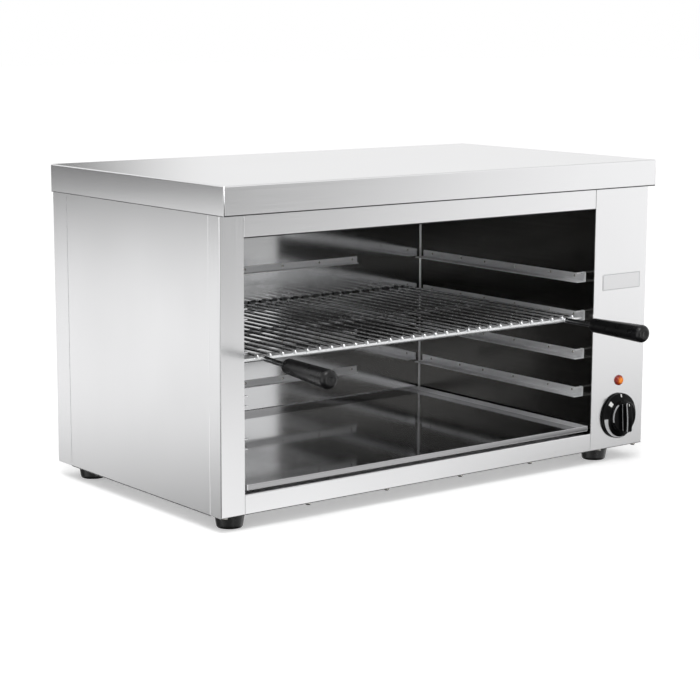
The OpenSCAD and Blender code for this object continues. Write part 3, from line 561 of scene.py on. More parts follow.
def merged_copy(node: str) -> bmesh.types.BMesh:
    """Copies a CAD node's mesh, with its loose triangles joined into flat faces.

    Args:
        node: The node's name.

    Returns:
        A bmesh in the row frame.
    """
    bm = bmesh.new()
    bm.from_mesh(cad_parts[node].data)
    bmesh.ops.remove_doubles(bm, verts=bm.verts, dist=MERGE)
    bmesh.ops.dissolve_limit(
        bm, angle_limit=math.radians(FLAT_DEG), use_dissolve_boundaries=False,
        verts=bm.verts, edges=bm.edges)
    return bm


def islands(bm: bmesh.types.BMesh) -> list[list[bmesh.types.BMVert]]:
    """Finds the separate solids of a mesh.

    Args:
        bm: The mesh, with its doubles merged.

    Returns:
        The vertices of each solid.
    """
    left, found = set(bm.verts), []
    while left:
        waiting, patch = [left.pop()], []
        while waiting:
            vert = waiting.pop()
            patch.append(vert)
            near = {edge.other_vert(vert) for edge in vert.link_edges} & left
            left -= near
            waiting += near
        found.append(patch)
    return found


def solid_boxes(node: str) -> list[tuple[Vector, Vector]]:
    """Gives the box of each solid of a CAD node.

    Args:
        node: The node's name.

    Returns:
        Lowest and highest corner of each, sorted by their lowest corners.
    """
    bm = merged_copy(node)
    boxes = []
    for patch in islands(bm):
        points = [v.co for v in patch]
        boxes.append((
            Vector([min(p[i] for p in points) for i in range(3)]),
            Vector([max(p[i] for p in points) for i in range(3)])))
    bm.free()
    return sorted(boxes, key=lambda box: tuple(round(c, 5) for c in box[0]))


def strip_width(face: bmesh.types.BMFace) -> float:
    """Returns a face's width if it is taken as a long strip."""
    return 2 * face.calc_area() / max(face.calc_perimeter(), MERGE)


def mitre_ring(bm: bmesh.types.BMesh) -> None:
    """Splits a lower edge that runs all round a cover at its corners and nowhere else.

    Args:
        bm: The cover's mesh.
    """
    seams = [e for e in bm.edges if e.is_manifold and e.calc_face_angle() < SEAM]
    bmesh.ops.delete(bm, geom=seams, context="EDGES")
    bmesh.ops.bridge_loops(bm, edges=[e for e in bm.edges if e.is_boundary])
    bmesh.ops.recalc_face_normals(bm, faces=bm.faces)


def square_edges(bm: bmesh.types.BMesh, wide: bool, limit: float) -> list[bmesh.types.BMEdge]:
    """Finds the convex right-angled edges of folded sheet.

    Args:
        bm: The sheet's mesh.
        wide: True for the outside of the folds, where both faces are wide, and False for the
            cut edges of the sheet.
        limit: Width that a face needs to count as wide.

    Returns:
        The edges.
    """
    return [
        e for e in bm.edges if e.is_manifold and e.is_convex
        and abs(e.calc_face_angle() - math.pi / 2) <= SQUARE_SLACK
        and all(strip_width(f) > limit for f in e.link_faces) == wide]


def round_edges(
    bm: bmesh.types.BMesh, edges: Iterable[bmesh.types.BMEdge], radius: float, segments: int
) -> None:
    """Rounds edges of a mesh.

    Args:
        bm: The mesh.
        edges: Its edges to round.
        radius: How far the rounding reaches from each edge.
        segments: Number of faces across the rounding.
    """
    bmesh.ops.bevel(
        bm, geom=list(edges), offset=radius, offset_type="OFFSET", segments=segments,
        profile=0.5, affect="EDGES", clamp_overlap=True, material=-1)


def of_kind(result: dict[str, list], kind: type, key: str = "geom") -> list:
    """Picks the vertices, edges or faces out of what a bmesh operator returns.

    Args:
        result: What the operator returned.
        kind: The bmesh type to pick.
        key: Where it stands in the result.

    Returns:
        The elements of that type.
    """
    return [g for g in result[key] if isinstance(g, kind)]


def raised(
    bm: bmesh.types.BMesh, faces: Sequence[bmesh.types.BMFace],
    way: tuple[float, float, float] = (0.0, 0.0, 0.0), keep: bool = True,
) -> tuple[list[bmesh.types.BMVert], list[bmesh.types.BMFace]]:
    """Extrudes faces and moves the new ones.

    Args:
        bm: The mesh.
        faces: Its faces to extrude.
        way: How far the new faces move.
        keep: True if the old faces stay, as the far side of a solid.

    Returns:
        The new vertices and the new faces.
    """
    result = bmesh.ops.extrude_face_region(bm, geom=faces, use_keep_orig=keep)
    verts = of_kind(result, bmesh.types.BMVert)
    bmesh.ops.translate(bm, verts=verts, vec=way)
    return verts, of_kind(result, bmesh.types.BMFace)


def head_seat(
    low: Vector, high: Vector, axis: Axis, sign: float, rise: float,
) -> tuple[Vector, float]:
    """Finds where the head of a rivet or a screw sits.

    Args:
        low: Lowest corner of the CAD solid.
        high: Its highest corner.
        axis: Direction of its axis.
        sign: 1 if the head is at the far end of the axis, -1 if at the near one.
        rise: Height of the head.

    Returns:
        The middle of the head's underside, and the length of the shank.
    """
    seat = (low + high) / 2
    tip = high[axis.value] if sign > 0 else low[axis.value]
    seat[axis.value] = tip - sign * rise
    return seat, (high - low)[axis.value] - rise


def lathe(
    profile: Sequence[tuple[float, float]], centre: Vector, axis: Axis, sign: float, steps: int,
) -> bmesh.types.BMesh:
    """Turns a closed shape about an axis.

    Args:
        profile: Points as radius and distance along the axis, from axis to axis.
        centre: Where the axis starts.
        axis: Direction of the axis.
        sign: 1 if distances run along +axis, -1 if along -axis.
        steps: Number of faces round the shape.

    Returns:
        The closed mesh, in the row frame.
    """
    bm = bmesh.new()
    out = Vector((0.0, 0.0, 0.0))
    out[(axis.value + 1) % 3] = 1.0
    along = Vector((0.0, 0.0, 0.0))
    along[axis.value] = sign
    verts = [bm.verts.new(centre + out * r + along * h) for r, h in profile]
    edges = [bm.edges.new(pair) for pair in zip(verts, verts[1:])]
    bmesh.ops.spin(
        bm, geom=[*verts, *edges], cent=centre, axis=along, dvec=(0, 0, 0),
        angle=2 * math.pi, steps=steps, use_merge=True, use_duplicate=False)
    bmesh.ops.remove_doubles(bm, verts=bm.verts, dist=MERGE)
    bmesh.ops.recalc_face_normals(bm, faces=bm.faces)
    return bm


def join(target: bmesh.types.BMesh, part: bmesh.types.BMesh, index: int = 0) -> None:
    """Adds one mesh to another and frees it.

    Args:
        target: The mesh that grows.
        part: The mesh that is added.
        index: What is added to the material indices of its faces.
    """
    for face in part.faces:
        face.material_index += index
    holder = bpy.data.meshes.new("part")
    part.to_mesh(holder)
    part.free()
    target.from_mesh(holder)
    bpy.data.meshes.remove(holder)


def make_piece(
    bm: bmesh.types.BMesh, name: str, body: Body, finishes: Sequence[Finish],
    stands_for: Sequence[str] = (), sharp_deg: float = 35.0,
) -> bpy.types.Object:
    """Makes a finished piece of a bmesh and lets it ride on its body.

    Args:
        bm: The shape, in the row frame. It is freed.
        name: The piece's name.
        body: The body it moves with.
        finishes: Its finishes, in the order of its material indices.
        stands_for: CAD nodes that it replaces.
        sharp_deg: Angle past which an edge stays sharp in the shading.

    Returns:
        The piece.
    """
    mesh = bpy.data.meshes.new(name)
    bm.to_mesh(mesh)
    bm.free()
    for finish in finishes:
        mesh.materials.append(finish.material())
    mesh.shade_smooth()
    mesh.set_sharp_from_angle(angle=math.radians(sharp_deg))
    piece = bpy.data.objects.new(name, mesh)
    bpy.context.scene.collection.objects.link(piece)
    even = piece.modifiers.new("flat_faces_stay_flat", "WEIGHTED_NORMAL")
    even.keep_sharp = True
    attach(piece, body.value)
    if stands_for:
        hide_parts(*stands_for)
    LOG.info("%s: %d faces on %s", name, len(mesh.polygons), body.value)
    return piece


def dress(
    node: str, finish: Finish, edge_mm: float = 0.2, segments: int = 2,
) -> bpy.types.Object:
    """Gives a CAD node its finish and broken edges.

    Args:
        node: The node's name.
        finish: Its finish.
        edge_mm: Width of the broken edges, 0 for none.
        segments: Number of faces across a broken edge.

    Returns:
        The node's object.
    """
    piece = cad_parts[node]
    piece.data.materials.clear()
    piece.data.materials.append(finish.material())
    weld = piece.modifiers.new("joined_triangles", "WELD")
    weld.merge_threshold = MERGE
    if edge_mm > 0:
        broken = piece.modifiers.new("broken_edges", "BEVEL")
        broken.limit_method = "ANGLE"
        broken.angle_limit = math.radians(BROKEN_DEG)
        broken.width = edge_mm * MM
        broken.segments = segments
        broken.profile = 0.5
        broken.use_clamp_overlap = True
    even = piece.modifiers.new("flat_faces_stay_flat", "WEIGHTED_NORMAL")
    even.keep_sharp = True
    LOG.info("%s: CAD solid in %s", node, finish.title)
    return piece


# Sub-assemblies ------------------------------------------------------------------------------


@dataclass
class Casing:
    """The folded panels round the cabinet.

    Attributes:
        fold_radius: Outside radius of the folds.
        cut_radius: Rounding of the sheet's cut edges after deburring.
        hem_radius: Rounding of a hemmed edge.
        wide: Width past which a face is the sheet's face and not its thickness.
        long_edge: Length past which a panel's lower front edge is a fold, however thin.
        low: How far up from a panel's lowest point its lower folds with painted shade reach.
        under: Upward parts of the normals of faces that curve under a panel, which take the painted
            shade.
        plain: The panels whose edges are just cut.
        ringed: The panel whose lower edge runs all round it.
    """

    fold_radius: float = 1.5 * MM
    cut_radius: float = 0.5 * MM
    hem_radius: float = 0.9 * MM
    wide: float = 2.2 * MM
    long_edge: float = 20 * MM
    low: float = 2 * MM
    under: tuple[float, float] = (-0.97, -0.1)
    plain: tuple[str, ...] = ("front_left_post", "top_fascia")
    ringed: str = "top_cover"

    def folded(self, node: str, hem: bool = False, ring: bool = False) -> bmesh.types.BMesh:
        """Copies a CAD panel and gives it real fold radii.

        Args:
            node: The panel's node.
            hem: True if its edges are hemmed and not just cut.
            ring: True if its lower edge runs all round it.

        Returns:
            The panel's mesh.
        """
        bm = merged_copy(node)
        if ring:
            mitre_ring(bm)
        front = min(v.co.y for v in bm.verts) + TOUCH
        ground = min(v.co.z for v in bm.verts) + TOUCH
        folds = square_edges(bm, True, self.wide)
        folds += [
            e for e in square_edges(bm, False, self.wide) if e.calc_length() > self.long_edge
            and all(v.co.y < front and v.co.z < ground for v in e.verts)]
        round_edges(bm, folds, self.fold_radius, segments=4)
        cuts = square_edges(bm, False, self.wide)
        if ring:
            side = max(abs(v.co.x) for v in bm.verts) - TOUCH
            cuts = [e for e in cuts if all(abs(v.co.x) > side for v in e.verts)]
        round_edges(bm, cuts, self.hem_radius if hem else self.cut_radius, segments=3)
        return bm

    def panel(self, node: str, finish: Finish) -> bpy.types.Object:
        """Replaces a CAD panel with a folded one, whose lower folds are darkened as painted shade.

        Args:
            node: The panel's node.
            finish: Its finish.

        Returns:
            The panel.
        """
        bm = self.folded(node, hem=node not in self.plain, ring=node == self.ringed)
        bm.normal_update()
        top = min(v.co.z for v in bm.verts) + TOUCH + self.low
        # Faces that curve under the panel near its foot get the darker finish: painted shade
        for face in bm.faces:
            curls = self.under[0] < face.normal.z < self.under[1]
            if curls and face.calc_center_median().z < top:
                face.material_index = 1
        return make_piece(bm, f"{node}_folded", Body.CABINET, [finish, PAINTED_SHADE_FOLD], [node])

    def build(self) -> list[bpy.types.Object]:
        """Builds and dresses the casing.

        Returns:
            Its pieces.
        """
        panels = {
            "top_cover": BRUSHED_ACROSS, "left_side_panel": BRUSHED_UPRIGHT,
            "right_side_panel": BRUSHED_UPRIGHT, "front_left_post": BRUSHED_UPRIGHT,
            "control_panel": BRUSHED_UPRIGHT, "top_fascia": BRUSHED_ACROSS,
            "front_rail": BRUSHED_ACROSS, "rear_panel": BRUSHED_ACROSS,
        }
        pieces = [self.panel(node, finish) for node, finish in panels.items()]
        return [*pieces, dress("base_panel", BRUSHED_ACROSS)]


@dataclass
class Cavity:
    """The walls round the heated space, with their runners, strips and rivets.

    Attributes:
        levels: Number of rack levels.
        head_rise: Height of a rivet's domed head.
        head_dome: Points of the dome, as shares of the head's radius and height.
        cove: Inside radius of the fold between the back wall and each side wall.
        cove_steps: Number of faces across that fold.
    """

    levels: int = 4
    head_rise: float = 0.7 * MM
    head_dome: tuple[tuple[float, float], ...] = (
        (1.0, 0.0), (1.0, 0.25), (0.8, 0.7), (0.42, 0.95), (0.0, 1.0))
    cove: float = 1.8 * MM
    cove_steps: int = 8

    def rivet_heads(self) -> bpy.types.Object:
        """Makes a domed head on each rivet.

        Returns:
            One piece with all rivets.
        """
        bm = bmesh.new()
        low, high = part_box("cavity_floor")
        middle = (low + high) / 2
        for low, high in solid_boxes("runner_rivets"):
            size, centre = high - low, (low + high) / 2
            axis = Axis.X if abs(size.y - size.z) < ALIKE else Axis.Y
            radius = size.z / 2
            sign = 1.0 if centre[axis.value] < middle[axis.value] else -1.0
            seat, shank = head_seat(low, high, axis, sign, self.head_rise)
            profile = [
                (0.0, -shank), (radius / 2, -shank), (radius / 2, 0.0),
                *((radius * out, self.head_rise * up) for out, up in self.head_dome)]
            join(bm, lathe(profile, seat, axis, sign, steps=14))
        return make_piece(bm, "rivet_heads", Body.CABINET, [NICKEL], ["runner_rivets"])

    def coves(self) -> bpy.types.Object:
        """Makes the rounded inside of the two upright folds at the back wall's ends.

        Returns:
            One piece with both folds.
        """
        bm = bmesh.new()
        floor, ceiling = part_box("cavity_floor")[1].z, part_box("cavity_ceiling")[0].z
        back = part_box("cavity_back_wall")[0].y
        left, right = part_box("cavity_left_wall")[1].x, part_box("cavity_right_wall")[0].x
        for x, side in ((left, 1.0), (right, -1.0)):
            part = bmesh.new()
            hub = Vector((x + side * self.cove, back - self.cove, floor))
            start = part.verts.new(hub + Vector((0.0, self.cove, 0.0)))
            bmesh.ops.spin(
                part, geom=[start], cent=hub, axis=(0, 0, 1), dvec=(0, 0, 0),
                angle=side * math.pi / 2, steps=self.cove_steps, use_merge=False,
                use_duplicate=False)
            arc = sorted(part.verts, key=lambda v: v.co.x * side, reverse=True)
            part.faces.new([*arc, part.verts.new(Vector((x, back, floor)))])
            raised(part, part.faces[:], (0.0, 0.0, ceiling - floor))
            bmesh.ops.recalc_face_normals(part, faces=part.faces)
            join(bm, part)
        return make_piece(bm, "corner_folds", Body.CABINET, [STRIP_DEEP], sharp_deg=50.0)

    def build(self) -> list[bpy.types.Object]:
        """Builds and dresses the cavity.

        Returns:
            Its pieces.
        """
        # The side walls and ceiling are darkened as painted shade
        pieces = [
            dress("cavity_left_wall", PAINTED_SHADE_WALL), dress("cavity_right_wall", PAINTED_SHADE_WALL),
            dress("cavity_back_wall", BRIGHT_LEVEL), dress("cavity_ceiling", PAINTED_SHADE_WALL),
            dress("cavity_floor", BRIGHT_FLAT), dress("back_strips", STRIP_ACROSS), self.coves()]
        for level in range(1, self.levels + 1):
            pieces += [dress(f"{side}_runner_{level}", STRIP_DEEP) for side in ("left", "right")]
        return [*pieces, self.rivet_heads()]


@dataclass
class Heating:
    """The two tubular elements with their bushes, insulators, terminals and hangers.

    Attributes:
        bush_edge_mm: Width of the bushes' broken edges.
        insulator_edge_mm: Width of the insulators' rounded edges.
        terminal_edge_mm: Width of the terminals' broken edges.
    """

    bush_edge_mm: float = 0.3
    insulator_edge_mm: float = 0.4
    terminal_edge_mm: float = 0.15

    def build(self) -> list[bpy.types.Object]:
        """Dresses the elements.

        Returns:
            Their pieces.
        """
        return [
            dress("front_element", SHEATH, 0), dress("rear_element", SHEATH, 0),
            dress("element_bushes", BRASS, self.bush_edge_mm),
            dress("element_insulators", STEATITE, self.insulator_edge_mm, MOULDED_STEPS),
            dress("element_terminals", NICKEL, self.terminal_edge_mm),
            dress("element_hangers", STRIP_DEEP)]


@dataclass(frozen=True)
class Mark:
    """One mark printed on the cone of the knob's skirt.

    Attributes:
        turn: Angles of its two ends in degrees, from +X towards +Z.
        inner: Distance of its inner edge from the skirt's rim, at each end.
        outer: Distance of its outer edge from the rim.
        steps: Number of faces along it.
        grey: True if it is printed in grey.
    """

    turn: tuple[float, float]
    inner: tuple[float, float]
    outer: float
    steps: int
    grey: bool = False


@dataclass
class Knob:
    """The regulator's knob with its printed marks. Heights are measured from the panel.

    Attributes:
        gap: Height of the skirt's underside.
        chamfer: Width of its chamfered lower edge.
        boss: Radius of the boss.
        boss_top: Height of the boss.
        wall: Thickness of the boss's wall.
        roof: Thickness of its top.
        cone_low: Height of the skirt's cone at the rim.
        cone_high: Height of the cone at the boss.
        cone_ends: Where the cone ends, inwards from the rim and outwards from the boss.
        rim_round: Points of the rim's rounding, as steps inwards from it and down from the cone.
        neck_round: Points of the hollow round the boss, as steps outwards from it and up.
        boss_round: Points of the boss's rounding, as steps inwards and down.
        highlight_turn: Angles in degrees between which the boss's rounding carries a painted
            highlight.
        highlight_wide: Width of that painted highlight.
        highlight_deep: How far it reaches down.
        bar_w: Width of the bar at its foot.
        bar_in: How far the bar's ends lie inside the boss's edge.
        bar_sunk: How deep the bar stands in the boss.
        bar_taper: How much narrower the bar is at its front.
        bar_corner: Radius of the bar's corners.
        bar_ease: Rounding of the bar's front edges.
        bar_foot: Height of the strip at the bar's foot, which carries a painted highlight on its
            left side.
        bar_lean: Angle by which the bar leans from upright, in degrees.
        bar_steps: Number of faces along the bar.
        crown: How much higher the bar's middle stands than its ends.
        line_in: Distance of the pointer line's middle from the bar's end.
        line_len: Length of the pointer line.
        line_w: Width of the pointer line.
        ink: Thickness of the printed marks.
        marks: The marks round the bar: the line at zero, the block at full heat and the scale.
    """

    gap: float = 1.0 * MM
    chamfer: float = 0.5 * MM
    boss: float = 18.5 * MM
    boss_top: float = 12.0 * MM
    wall: float = 2.5 * MM
    roof: float = 2.0 * MM
    cone_low: float = 3.7 * MM
    cone_high: float = 6.4 * MM
    cone_ends: tuple[float, float] = (0.7 * MM, 0.9 * MM)
    rim_round: tuple[tuple[float, float], ...] = ((0.0, 0.9 * MM), (0.2 * MM, 0.3 * MM))
    neck_round: tuple[tuple[float, float], ...] = ((0.3 * MM, 0.15 * MM), (0.0, 0.7 * MM))
    boss_round: tuple[tuple[float, float], ...] = (
        (0.1 * MM, 1.5 * MM), (0.45 * MM, 0.6 * MM), (1.1 * MM, 0.1 * MM), (2.0 * MM, 0.0))
    highlight_turn: tuple[float, float] = (125, 195)
    highlight_wide: float = 1.2 * MM
    highlight_deep: float = 1.1 * MM
    bar_w: float = 8.5 * MM
    bar_in: float = 0.9 * MM
    bar_sunk: float = 0.5 * MM
    bar_taper: float = 0.5 * MM
    bar_corner: float = 2.2 * MM
    bar_ease: float = 0.9 * MM
    bar_foot: float = 1.0 * MM
    bar_lean: float = 3.5
    bar_steps: int = 14
    crown: float = 1.2 * MM
    line_in: float = 3.4 * MM
    line_len: float = 2.8 * MM
    line_w: float = 0.9 * MM
    ink: float = 0.1 * MM
    marks: tuple[Mark, ...] = (
        Mark((91.0, 86.5), (4.3 * MM, 4.3 * MM), 0.9 * MM, 1),
        Mark((143.0, 130.5), (6.5 * MM, 6.5 * MM), 1.7 * MM, 3),
        Mark((184.0, 283.0), (5.5 * MM, 1.2 * MM), 0.9 * MM, 36, True),
    )

    def __post_init__(self) -> None:
        """Takes the knob's place from its CAD solid."""
        low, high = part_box("control_knob")
        self.radius = (high.x - low.x) / 2
        self.seat = Vector(((low.x + high.x) / 2, high.y + self.gap, (low.z + high.z) / 2))
        self.height = self.seat.y - low.y

    def cone(self, r: float) -> float:
        """Returns the height of the skirt's cone at a radius."""
        share = (self.radius - r) / (self.radius - self.boss)
        return self.cone_low + (self.cone_high - self.cone_low) * share

    def front(self, z: float) -> float:
        """Returns the height of the bar's front at a distance from the knob's middle."""
        return self.height - self.crown * (z / self.boss) ** 2

    def seated(self, bm: bmesh.types.BMesh) -> bmesh.types.BMesh:
        """Leans a shape that was made at the origin and moves it to the knob.

        Args:
            bm: The shape.

        Returns:
            The same shape.
        """
        turn = Matrix.Rotation(math.radians(-self.bar_lean), 3, "Y")
        bmesh.ops.rotate(bm, cent=(0, 0, 0), matrix=turn, verts=bm.verts)
        bmesh.ops.translate(bm, verts=bm.verts, vec=self.seat)
        return bm

    def turned(self) -> bmesh.types.BMesh:
        """Makes the skirt and the boss.

        Returns:
            Their mesh, hollow at the back.
        """
        rim, boss, top = self.radius, self.boss, self.boss_top
        bore = boss - self.wall
        cone = (rim - self.cone_ends[0], boss + self.cone_ends[1])
        profile = [
            (0.0, top - self.roof), (bore, top - self.roof), (bore, self.gap),
            (rim - self.chamfer, self.gap), (rim, self.gap + self.chamfer),
            *((rim - inwards, self.cone_low - down) for inwards, down in self.rim_round),
            *((r, self.cone(r)) for r in cone),
            *((boss + outwards, self.cone(boss) + up) for outwards, up in self.neck_round),
            *((boss - inwards, top - down) for inwards, down in self.boss_round), (0.0, top)]
        bm = lathe(profile, self.seat, Axis.Y, -1.0, steps=72)
        # Faces of the boss's rounding at its left take the pale grey of a painted highlight
        for face in bm.faces:
            at = face.calc_center_median() - self.seat
            angle = math.degrees(math.atan2(at.z, at.x)) % 360
            edge = boss - self.highlight_wide < math.hypot(at.x, at.z) < boss
            in_highlight = self.highlight_turn[0] < angle < self.highlight_turn[1]
            if edge and in_highlight and -at.y > top - self.highlight_deep:
                face.material_index = 1
        return bm

    def bar(self) -> bmesh.types.BMesh:
        """Makes the bar across the boss, with rounded corners and a crowned front.

        Returns:
            Its mesh.
        """
        bm = bmesh.new()
        bmesh.ops.create_grid(
            bm, x_segments=1, y_segments=self.bar_steps, size=1.0,
            matrix=Matrix.Rotation(math.pi / 2, 4, "X"))
        bmesh.ops.scale(bm, vec=(self.bar_w / 2, 1.0, self.boss - self.bar_in), verts=bm.verts)
        corners = [v for v in bm.verts if len(v.link_edges) == 2]
        bmesh.ops.bevel(
            bm, geom=corners, offset=self.bar_corner, offset_type="OFFSET", segments=5,
            profile=0.5, affect="VERTICES", clamp_overlap=True, material=-1)
        foot, ledge = self.boss_top - self.bar_sunk, self.boss_top + self.bar_foot
        bmesh.ops.translate(bm, verts=bm.verts, vec=(0, -foot, 0))
        top = raised(bm, bm.faces[:], (0.0, foot - ledge, 0.0))[1]
        front = raised(bm, top, keep=False)[0]
        narrow = (self.bar_w - self.bar_taper) / self.bar_w
        for vert in front:
            vert.co = Vector((vert.co.x * narrow, -self.front(vert.co.z), vert.co.z))
        bmesh.ops.recalc_face_normals(bm, faces=bm.faces)
        brink = -(self.boss_top + self.bar_foot / 2)
        rim = [
            e for e in bm.edges if e.is_manifold and e.is_convex
            and all(v.co.y < brink for v in e.verts) and e.calc_face_angle() > SHARP]
        # The rounded front edges take the pale grey of the painted highlight
        bmesh.ops.bevel(
            bm, geom=rim, offset=self.bar_ease, offset_type="OFFSET", segments=4,
            profile=0.5, affect="EDGES", clamp_overlap=True, material=1)
        bm.normal_update()
        # A painted highlight lies only on the left side: on its rounded front edge, and on the
        # strip at its foot
        for face in bm.faces:
            at = face.calc_center_median()
            if at.x > 0:
                face.material_index = 0
            elif -at.y < ledge and face.normal.x < -FACING:
                face.material_index = 1
        return self.seated(bm)

    def inked(self, bm: bmesh.types.BMesh) -> bmesh.types.BMesh:
        """Gives a printed shape the thickness of its ink.

        Args:
            bm: The shape, without thickness.

        Returns:
            The same shape.
        """
        bmesh.ops.recalc_face_normals(bm, faces=bm.faces)
        bmesh.ops.solidify(bm, geom=bm.faces[:], thickness=self.ink)
        bmesh.ops.recalc_face_normals(bm, faces=bm.faces)
        return bm

    def printed(self, mark: Mark) -> bmesh.types.BMesh:
        """Makes one printed mark on the cone.

        Args:
            mark: Its outline.

        Returns:
            Its mesh.
        """
        bm = bmesh.new()
        bmesh.ops.create_grid(bm, x_segments=mark.steps, y_segments=1, size=1.0)
        for vert in bm.verts:
            along, across = (vert.co.x + 1) / 2, (vert.co.y + 1) / 2
            inner = mark.inner[0] + (mark.inner[1] - mark.inner[0]) * along
            r = self.radius - inner + (inner - mark.outer) * across
            angle = math.radians(mark.turn[0] + (mark.turn[1] - mark.turn[0]) * along)
            vert.co = self.seat + Vector((
                r * math.cos(angle), -self.cone(r) - self.ink / 2, r * math.sin(angle)))
        return self.inked(bm)

    def pointer(self) -> bmesh.types.BMesh:
        """Makes the short line on the bar's front.

        Returns:
            Its mesh.
        """
        bm = bmesh.new()
        bmesh.ops.create_grid(bm, x_segments=1, y_segments=3, size=1.0)
        for vert in bm.verts:
            z = self.boss - self.line_in + self.line_len / 2 * vert.co.y
            vert.co = Vector((self.line_w / 2 * vert.co.x, -self.front(z) - self.ink / 2, z))
        return self.seated(self.inked(bm))

    def build(self) -> list[bpy.types.Object]:
        """Builds the knob.

        Returns:
            The knob and its marks.
        """
        body = self.turned()
        join(body, self.bar())
        marks = self.pointer()
        for mark in self.marks:
            join(marks, self.printed(mark), int(mark.grey))
        knob = make_piece(
            body, "bar_knob", Body.KNOB, [KNOB_BLACK, KNOB_HIGHLIGHT], ["control_knob"],
            sharp_deg=50.0)
        printed = make_piece(
            marks, "printed_marks", Body.KNOB, [MARK_WHITE, MARK_GREY], ["knob_marks"],
            sharp_deg=60.0)
        return [knob, printed]


@dataclass
class Controls:
    """The knob, the pilot lamp and the bare plate on the control panel.

    Attributes:
        plate_corner: Radius of the plate's corners.
        plate_margin: Distance from the plate's edge to its etched line.
        plate_line: Width of that line.
        rim_high: Height of the lens's rim, over the lamp body's flange.
        rim_wide: Width of that rim.
        rim_side: Share of its height that stands upright.
        rim_round: Points of its rounding, as steps outwards from the dome and up from the rim.
        rim_gap: Gap between the rim and what it lies on.
        dome_bulge: Power that makes the dome fuller than a ball where it is less than 1.
        dome_steps: Number of faces from the dome's foot to its top.
        nut_edge_mm: Width of the two nuts' broken edges.
        switch_edge_mm: Width of the regulator's rounded edges.
        lamp_edge_mm: Width of the lamp body's rounded edges.
    """

    plate_corner: float = 1.6 * MM
    plate_margin: float = 0.5 * MM
    plate_line: float = 0.6 * MM
    rim_high: float = 1.5 * MM
    rim_wide: float = 0.75 * MM
    rim_side: float = 0.6
    rim_round: tuple[tuple[float, float], ...] = (
        (0.5 * MM, 0.05 * MM), (0.1 * MM, 0.1 * MM), (0.0, 0.3 * MM))
    rim_gap: float = 0.02 * MM
    dome_bulge: float = 0.75
    dome_steps: int = 9
    nut_edge_mm: float = 0.3
    switch_edge_mm: float = 0.5
    lamp_edge_mm: float = 0.25

    def plate(self) -> bpy.types.Object:
        """Makes the bare plate with its etched border.

        Returns:
            The plate.
        """
        low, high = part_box("name_plate")
        size, centre = high - low, (low + high) / 2
        bm = bmesh.new()
        turn = Matrix.Rotation(math.pi / 2, 4, "X")
        scale = Matrix.Diagonal((size.x / 2, size.y, size.z / 2, 1.0))
        bmesh.ops.create_grid(bm, x_segments=1, y_segments=1, size=1.0, matrix=turn)
        bmesh.ops.transform(bm, matrix=scale, verts=bm.verts)
        bmesh.ops.bevel(
            bm, geom=bm.verts[:], offset=self.plate_corner, segments=5, profile=0.5,
            affect="VERTICES", clamp_overlap=True, material=-1)
        bmesh.ops.translate(bm, verts=bm.verts, vec=(centre.x, high.y, centre.z))
        bmesh.ops.recalc_face_normals(bm, faces=bm.faces)
        face = bm.faces[:][0]
        if face.normal.y > 0:
            bmesh.ops.reverse_faces(bm, faces=[face])
        top = raised(bm, [face], (0.0, -size.y, 0.0))[1]
        bmesh.ops.inset_region(bm, faces=top, thickness=self.plate_margin, depth=0.0)
        line = bmesh.ops.inset_region(bm, faces=top, thickness=self.plate_line, depth=0.0)
        for ring in line["faces"]:
            ring.material_index = 1
        bmesh.ops.recalc_face_normals(bm, faces=bm.faces)
        return make_piece(bm, "bare_plate", Body.CABINET, [PLATE_FACE, PLATE_LINE], ["name_plate"])

    def lens(self) -> bpy.types.Object:
        """Makes the pilot lamp's domed lens with the rim that lies on the panel.

        Returns:
            The lens.
        """
        low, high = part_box("lamp_lens")
        radius = (high.x - low.x) / 2
        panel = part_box("lamp_body")[0].y + self.rim_high
        deep = panel - low.y
        seat = Vector(((low.x + high.x) / 2, panel, (low.z + high.z) / 2))
        rim = radius + self.rim_wide
        foot = self.rim_high + self.rim_round[-1][1]
        rise = deep - foot
        turns = [step / self.dome_steps * math.pi / 2 for step in range(1, self.dome_steps)]
        profile = [
            (0.0, self.rim_gap), (rim, self.rim_gap), (rim, self.rim_side * self.rim_high),
            *((radius + out, self.rim_high + up) for out, up in self.rim_round),
            *((radius * math.cos(a) ** self.dome_bulge, foot + rise * math.sin(a)) for a in turns),
            (0.0, deep)]
        # The lens's lighter middle and darker rim are painted light and shade
        finish = ClearLens(
            "polycarbonate_moulded_amber", "lamp_lens", "#ff8f22", "#8c1a05", tuple(seat), radius)
        return make_piece(
            lathe(profile, seat, Axis.Y, -1.0, steps=40), "pilot_lens", Body.CABINET, [finish],
            ["lamp_lens"], sharp_deg=40.0)

    def build(self) -> list[bpy.types.Object]:
        """Builds and dresses the controls.

        Returns:
            Their pieces.
        """
        return [
            *Knob().build(), dress("regulator_spindle", NICKEL),
            dress("regulator_nut", NICKEL, self.nut_edge_mm),
            dress("energy_regulator", SWITCH_NYLON, self.switch_edge_mm),
            dress("lamp_body", LAMP_NYLON, self.lamp_edge_mm),
            dress("lamp_nut", SWITCH_NYLON, self.nut_edge_mm), self.plate(), self.lens()]


